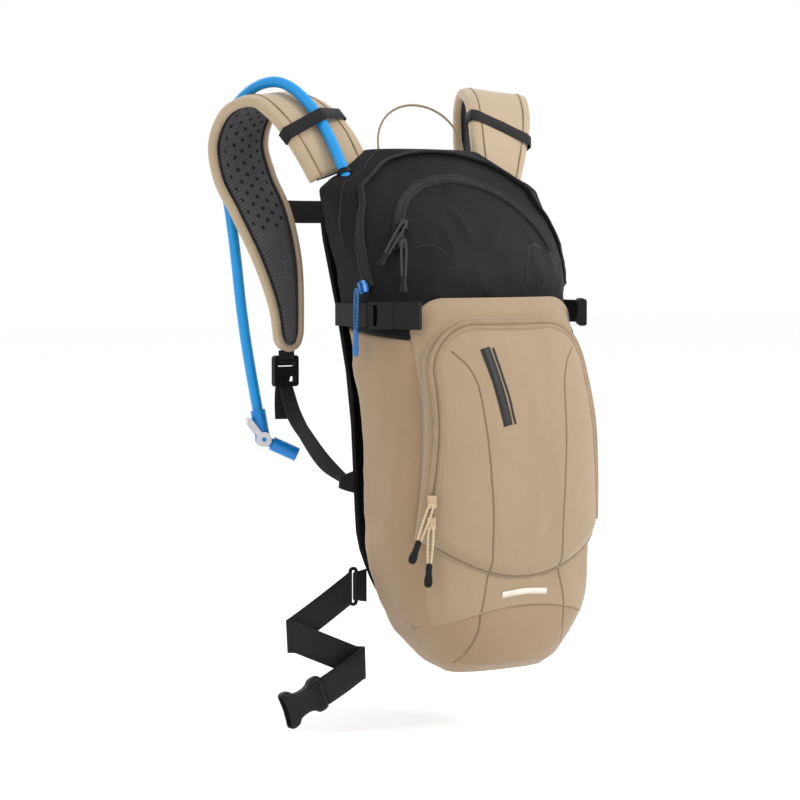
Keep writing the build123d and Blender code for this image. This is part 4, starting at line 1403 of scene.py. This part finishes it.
# Slider centre, track direction, outward direction, cord's foot, cord's length, its slot,
# the slider's slot, the grip's slot, the grip's length.
PULLS = {
    "reservoir": ((-113, -22, 322), (-0.09, 0.37, 0.92), (-1, 0, 0), (-119.5, -22, 288), 67.3,
                  "blue_cord", "blue_slider", "blue_fitting", 23),
    "main_upper": ((-73, -25, 374), (0.45, 0.47, 0.76), (-0.26, -0.76, 0.59), (-96, -33, 350), 69.7,
                   "black_cord", "slider_metal", "tan_tips", 13),
    "main_lower": ((-81, -34, 358), (0.45, 0.47, 0.76), (-0.26, -0.76, 0.59), (-91, -50, 331), 66.8,
                   "black_cord", "slider_metal", "tan_tips", 15),
    "pocket_upper": ((-91, -89.5, 148), (0.035, 0.05, 1), (-0.63, -0.777, 0), (-103, -88, 117), 64.6,
                     "tan_cord", "tan_slider", "tan_tips", 20),
    "pocket_lower": ((-91.5, -89.5, 130), (0.035, 0.05, 1), (-0.63, -0.777, 0), (-95, -91, 98), 63.5,
                     "tan_cord", "tan_slider", "tan_tips", 20),
}
# A slider's wedge reaches down between the zip's lips.
WEDGE_DEPTHS = np.array([-4.2, -2.5, -1.0, 0.8])[:, None]
WEDGE_SECTION = [(4.4, 1.6), (2.6, 2.8), (-2.6, 2.8), (-4.4, 1.6), (-4.4, -1.6), (-2.6, -2.8), (2.6, -2.8),
                 (4.4, -1.6)]
# A grip's form: share of its length, then its width and thickness as shares of the whole.
GRIP_SHAPE = np.array([(0.0, 0.5, 0.75), (0.05, 0.68, 0.9), (0.15, 0.76, 0.96), (0.35, 0.72, 0.95),
                       (0.5, 0.78, 0.97), (0.65, 0.96, 1.0), (0.8, 1.0, 1.0), (0.9, 0.92, 0.95),
                       (0.97, 0.7, 0.75), (1.0, 0.4, 0.45)])


def straight_sweep(name, spots, sideways, outward, profile, scale=None):
    """A sweep whose section never turns."""
    sweep(name, spots, np.broadcast_to(sideways, spots.shape), np.broadcast_to(outward, spots.shape),
          profile, scale)


def pulls():
    for name, (centre, track, outward, foot, length, cord, slider, tip, tip_length) in PULLS.items():
        centre, track, outward, foot = (np.array(v, float) for v in (centre, track, outward, foot))
        outward = unit(outward)
        track = unit(track - outward * (track @ outward))
        head = centre + outward * (BAIL_LIFT + 3) - track * 1.5
        down = foot - head
        reach = float(np.linalg.norm(down))
        down = down / reach
        across = unit(np.cross(down, outward))
        rows = CORD_SPREAD + [((9.0 + reach) / 2, CORD_MIDDLE_SPREAD), (reach, CORD_FOOT_SPREAD)]
        route = [head + down * s - across * w for s, w in reversed(rows)]
        route += [head + down * s + across * w for s, w in rows]
        straight_sweep(f"{name}_slider_foot", centre + outward * WEDGE_DEPTHS, track,
                       np.cross(outward, track), WEDGE_SECTION)
        keep(f"{name}_slider_foot", f"{name}_slider", slider)
        piece = curve_object(f"{name}_string", route, CORD_DIAMETER)
        keep(f"{name}_string", f"{name}_pull", cord, stands_for=[f"{name}_cord"])
        spots = foot + down * (0.15 + tip_length * GRIP_SHAPE[:, :1])
        straight_sweep(f"{name}_grip", spots, across, np.cross(down, across), round_profile(3.5, 2.0, 16),
                       GRIP_SHAPE[:, 1:])
        grip = keep(f"{name}_grip", f"{name}_pull", tip, stands_for=[f"{name}_tip"])


# ---------------------------------------------------------------- parts kept from the solid model


HARD_SLOTS = ("black_plastic", "tan_tips", "slider_metal", "tan_slider", "blue_slider", "grey_lever",
              "blue_fitting")
EDGE_WIDTH = 0.0004


def solid_parts():
    """Every part still shown gets its finish, and the hard ones softened edges."""
    for part in frame["record"]["subparts"]:
        node = frame["nodes"][part["node"]]
        if node.hide_render:
            continue
        slot = part["material_slot"]
        node.data.materials.clear()
        node.data.materials.append(MATERIALS[slot])
        if slot in HARD_SLOTS:
            softened = node.modifiers.new("softened", "BEVEL")
            softened.width = EDGE_WIDTH
            softened.segments = 2
            softened.limit_method = "ANGLE"
            softened.angle_limit = math.radians(40)


# ---------------------------------------------------------------- studio

FLOOR_DROP, FLOOR_REACH = 12, 9000
# Name, place, size in metres and power of each lamp. They all look at one spot.
LAMPS = (("key", (1100, -1500, 1600), 1.0, 34), ("fill", (-2200, -500, 1100), 1.2, 7),
         ("back", (-500, 1700, 1500), 1.0, 14))
LAMP_AIM = (0, 0, 230)


def studio():
    bpy.context.scene.view_settings.view_transform = "Standard"
    world = bpy.data.worlds.new("studio")
    world.use_nodes = True
    sky = world.node_tree.nodes["Background"].inputs
    sky["Color"].default_value = (1, 1, 1, 1)
    sky["Strength"].default_value = 1.0
    bpy.context.scene.world = world
    lowest = CAD_BOX[0].z * 1000 + LOOP_TOP - FLOOR_DROP
    corners = [(x * FLOOR_REACH, y * FLOOR_REACH, lowest) for x, y in ((-1, -1), (1, -1), (1, 1), (-1, 1))]
    floor = mesh_object("floor", corners, [(0, 1, 2, 3)])
    floor.data.materials.append(Paint("floor_paint", (254, 254, 254), 0.9).material)
    for name, spot, size, watts in LAMPS:
        data = bpy.data.lights.new(name, "AREA")
        data.energy = watts
        data.size = size
        lamp = new_object(name, data)
        lamp.location = place(spot)
        aim(lamp, Vector(place(LAMP_AIM)) - lamp.location)


studio()
lower_tub()
upper_hood()
front_panel()
zipped_pocket()
pocket_zip()
front_seams()
hood_zips()
hood_seams()
prints()
lower_seams()
for strap_side in (-1, 1):
    strap = Strap(strap_side)
    strap.build()
    strap_band(strap, strap_side < 0)
drinking_tube()
webbings()
belts()
loop_and_tabs()
back_pieces()
pulls()
solid_parts()
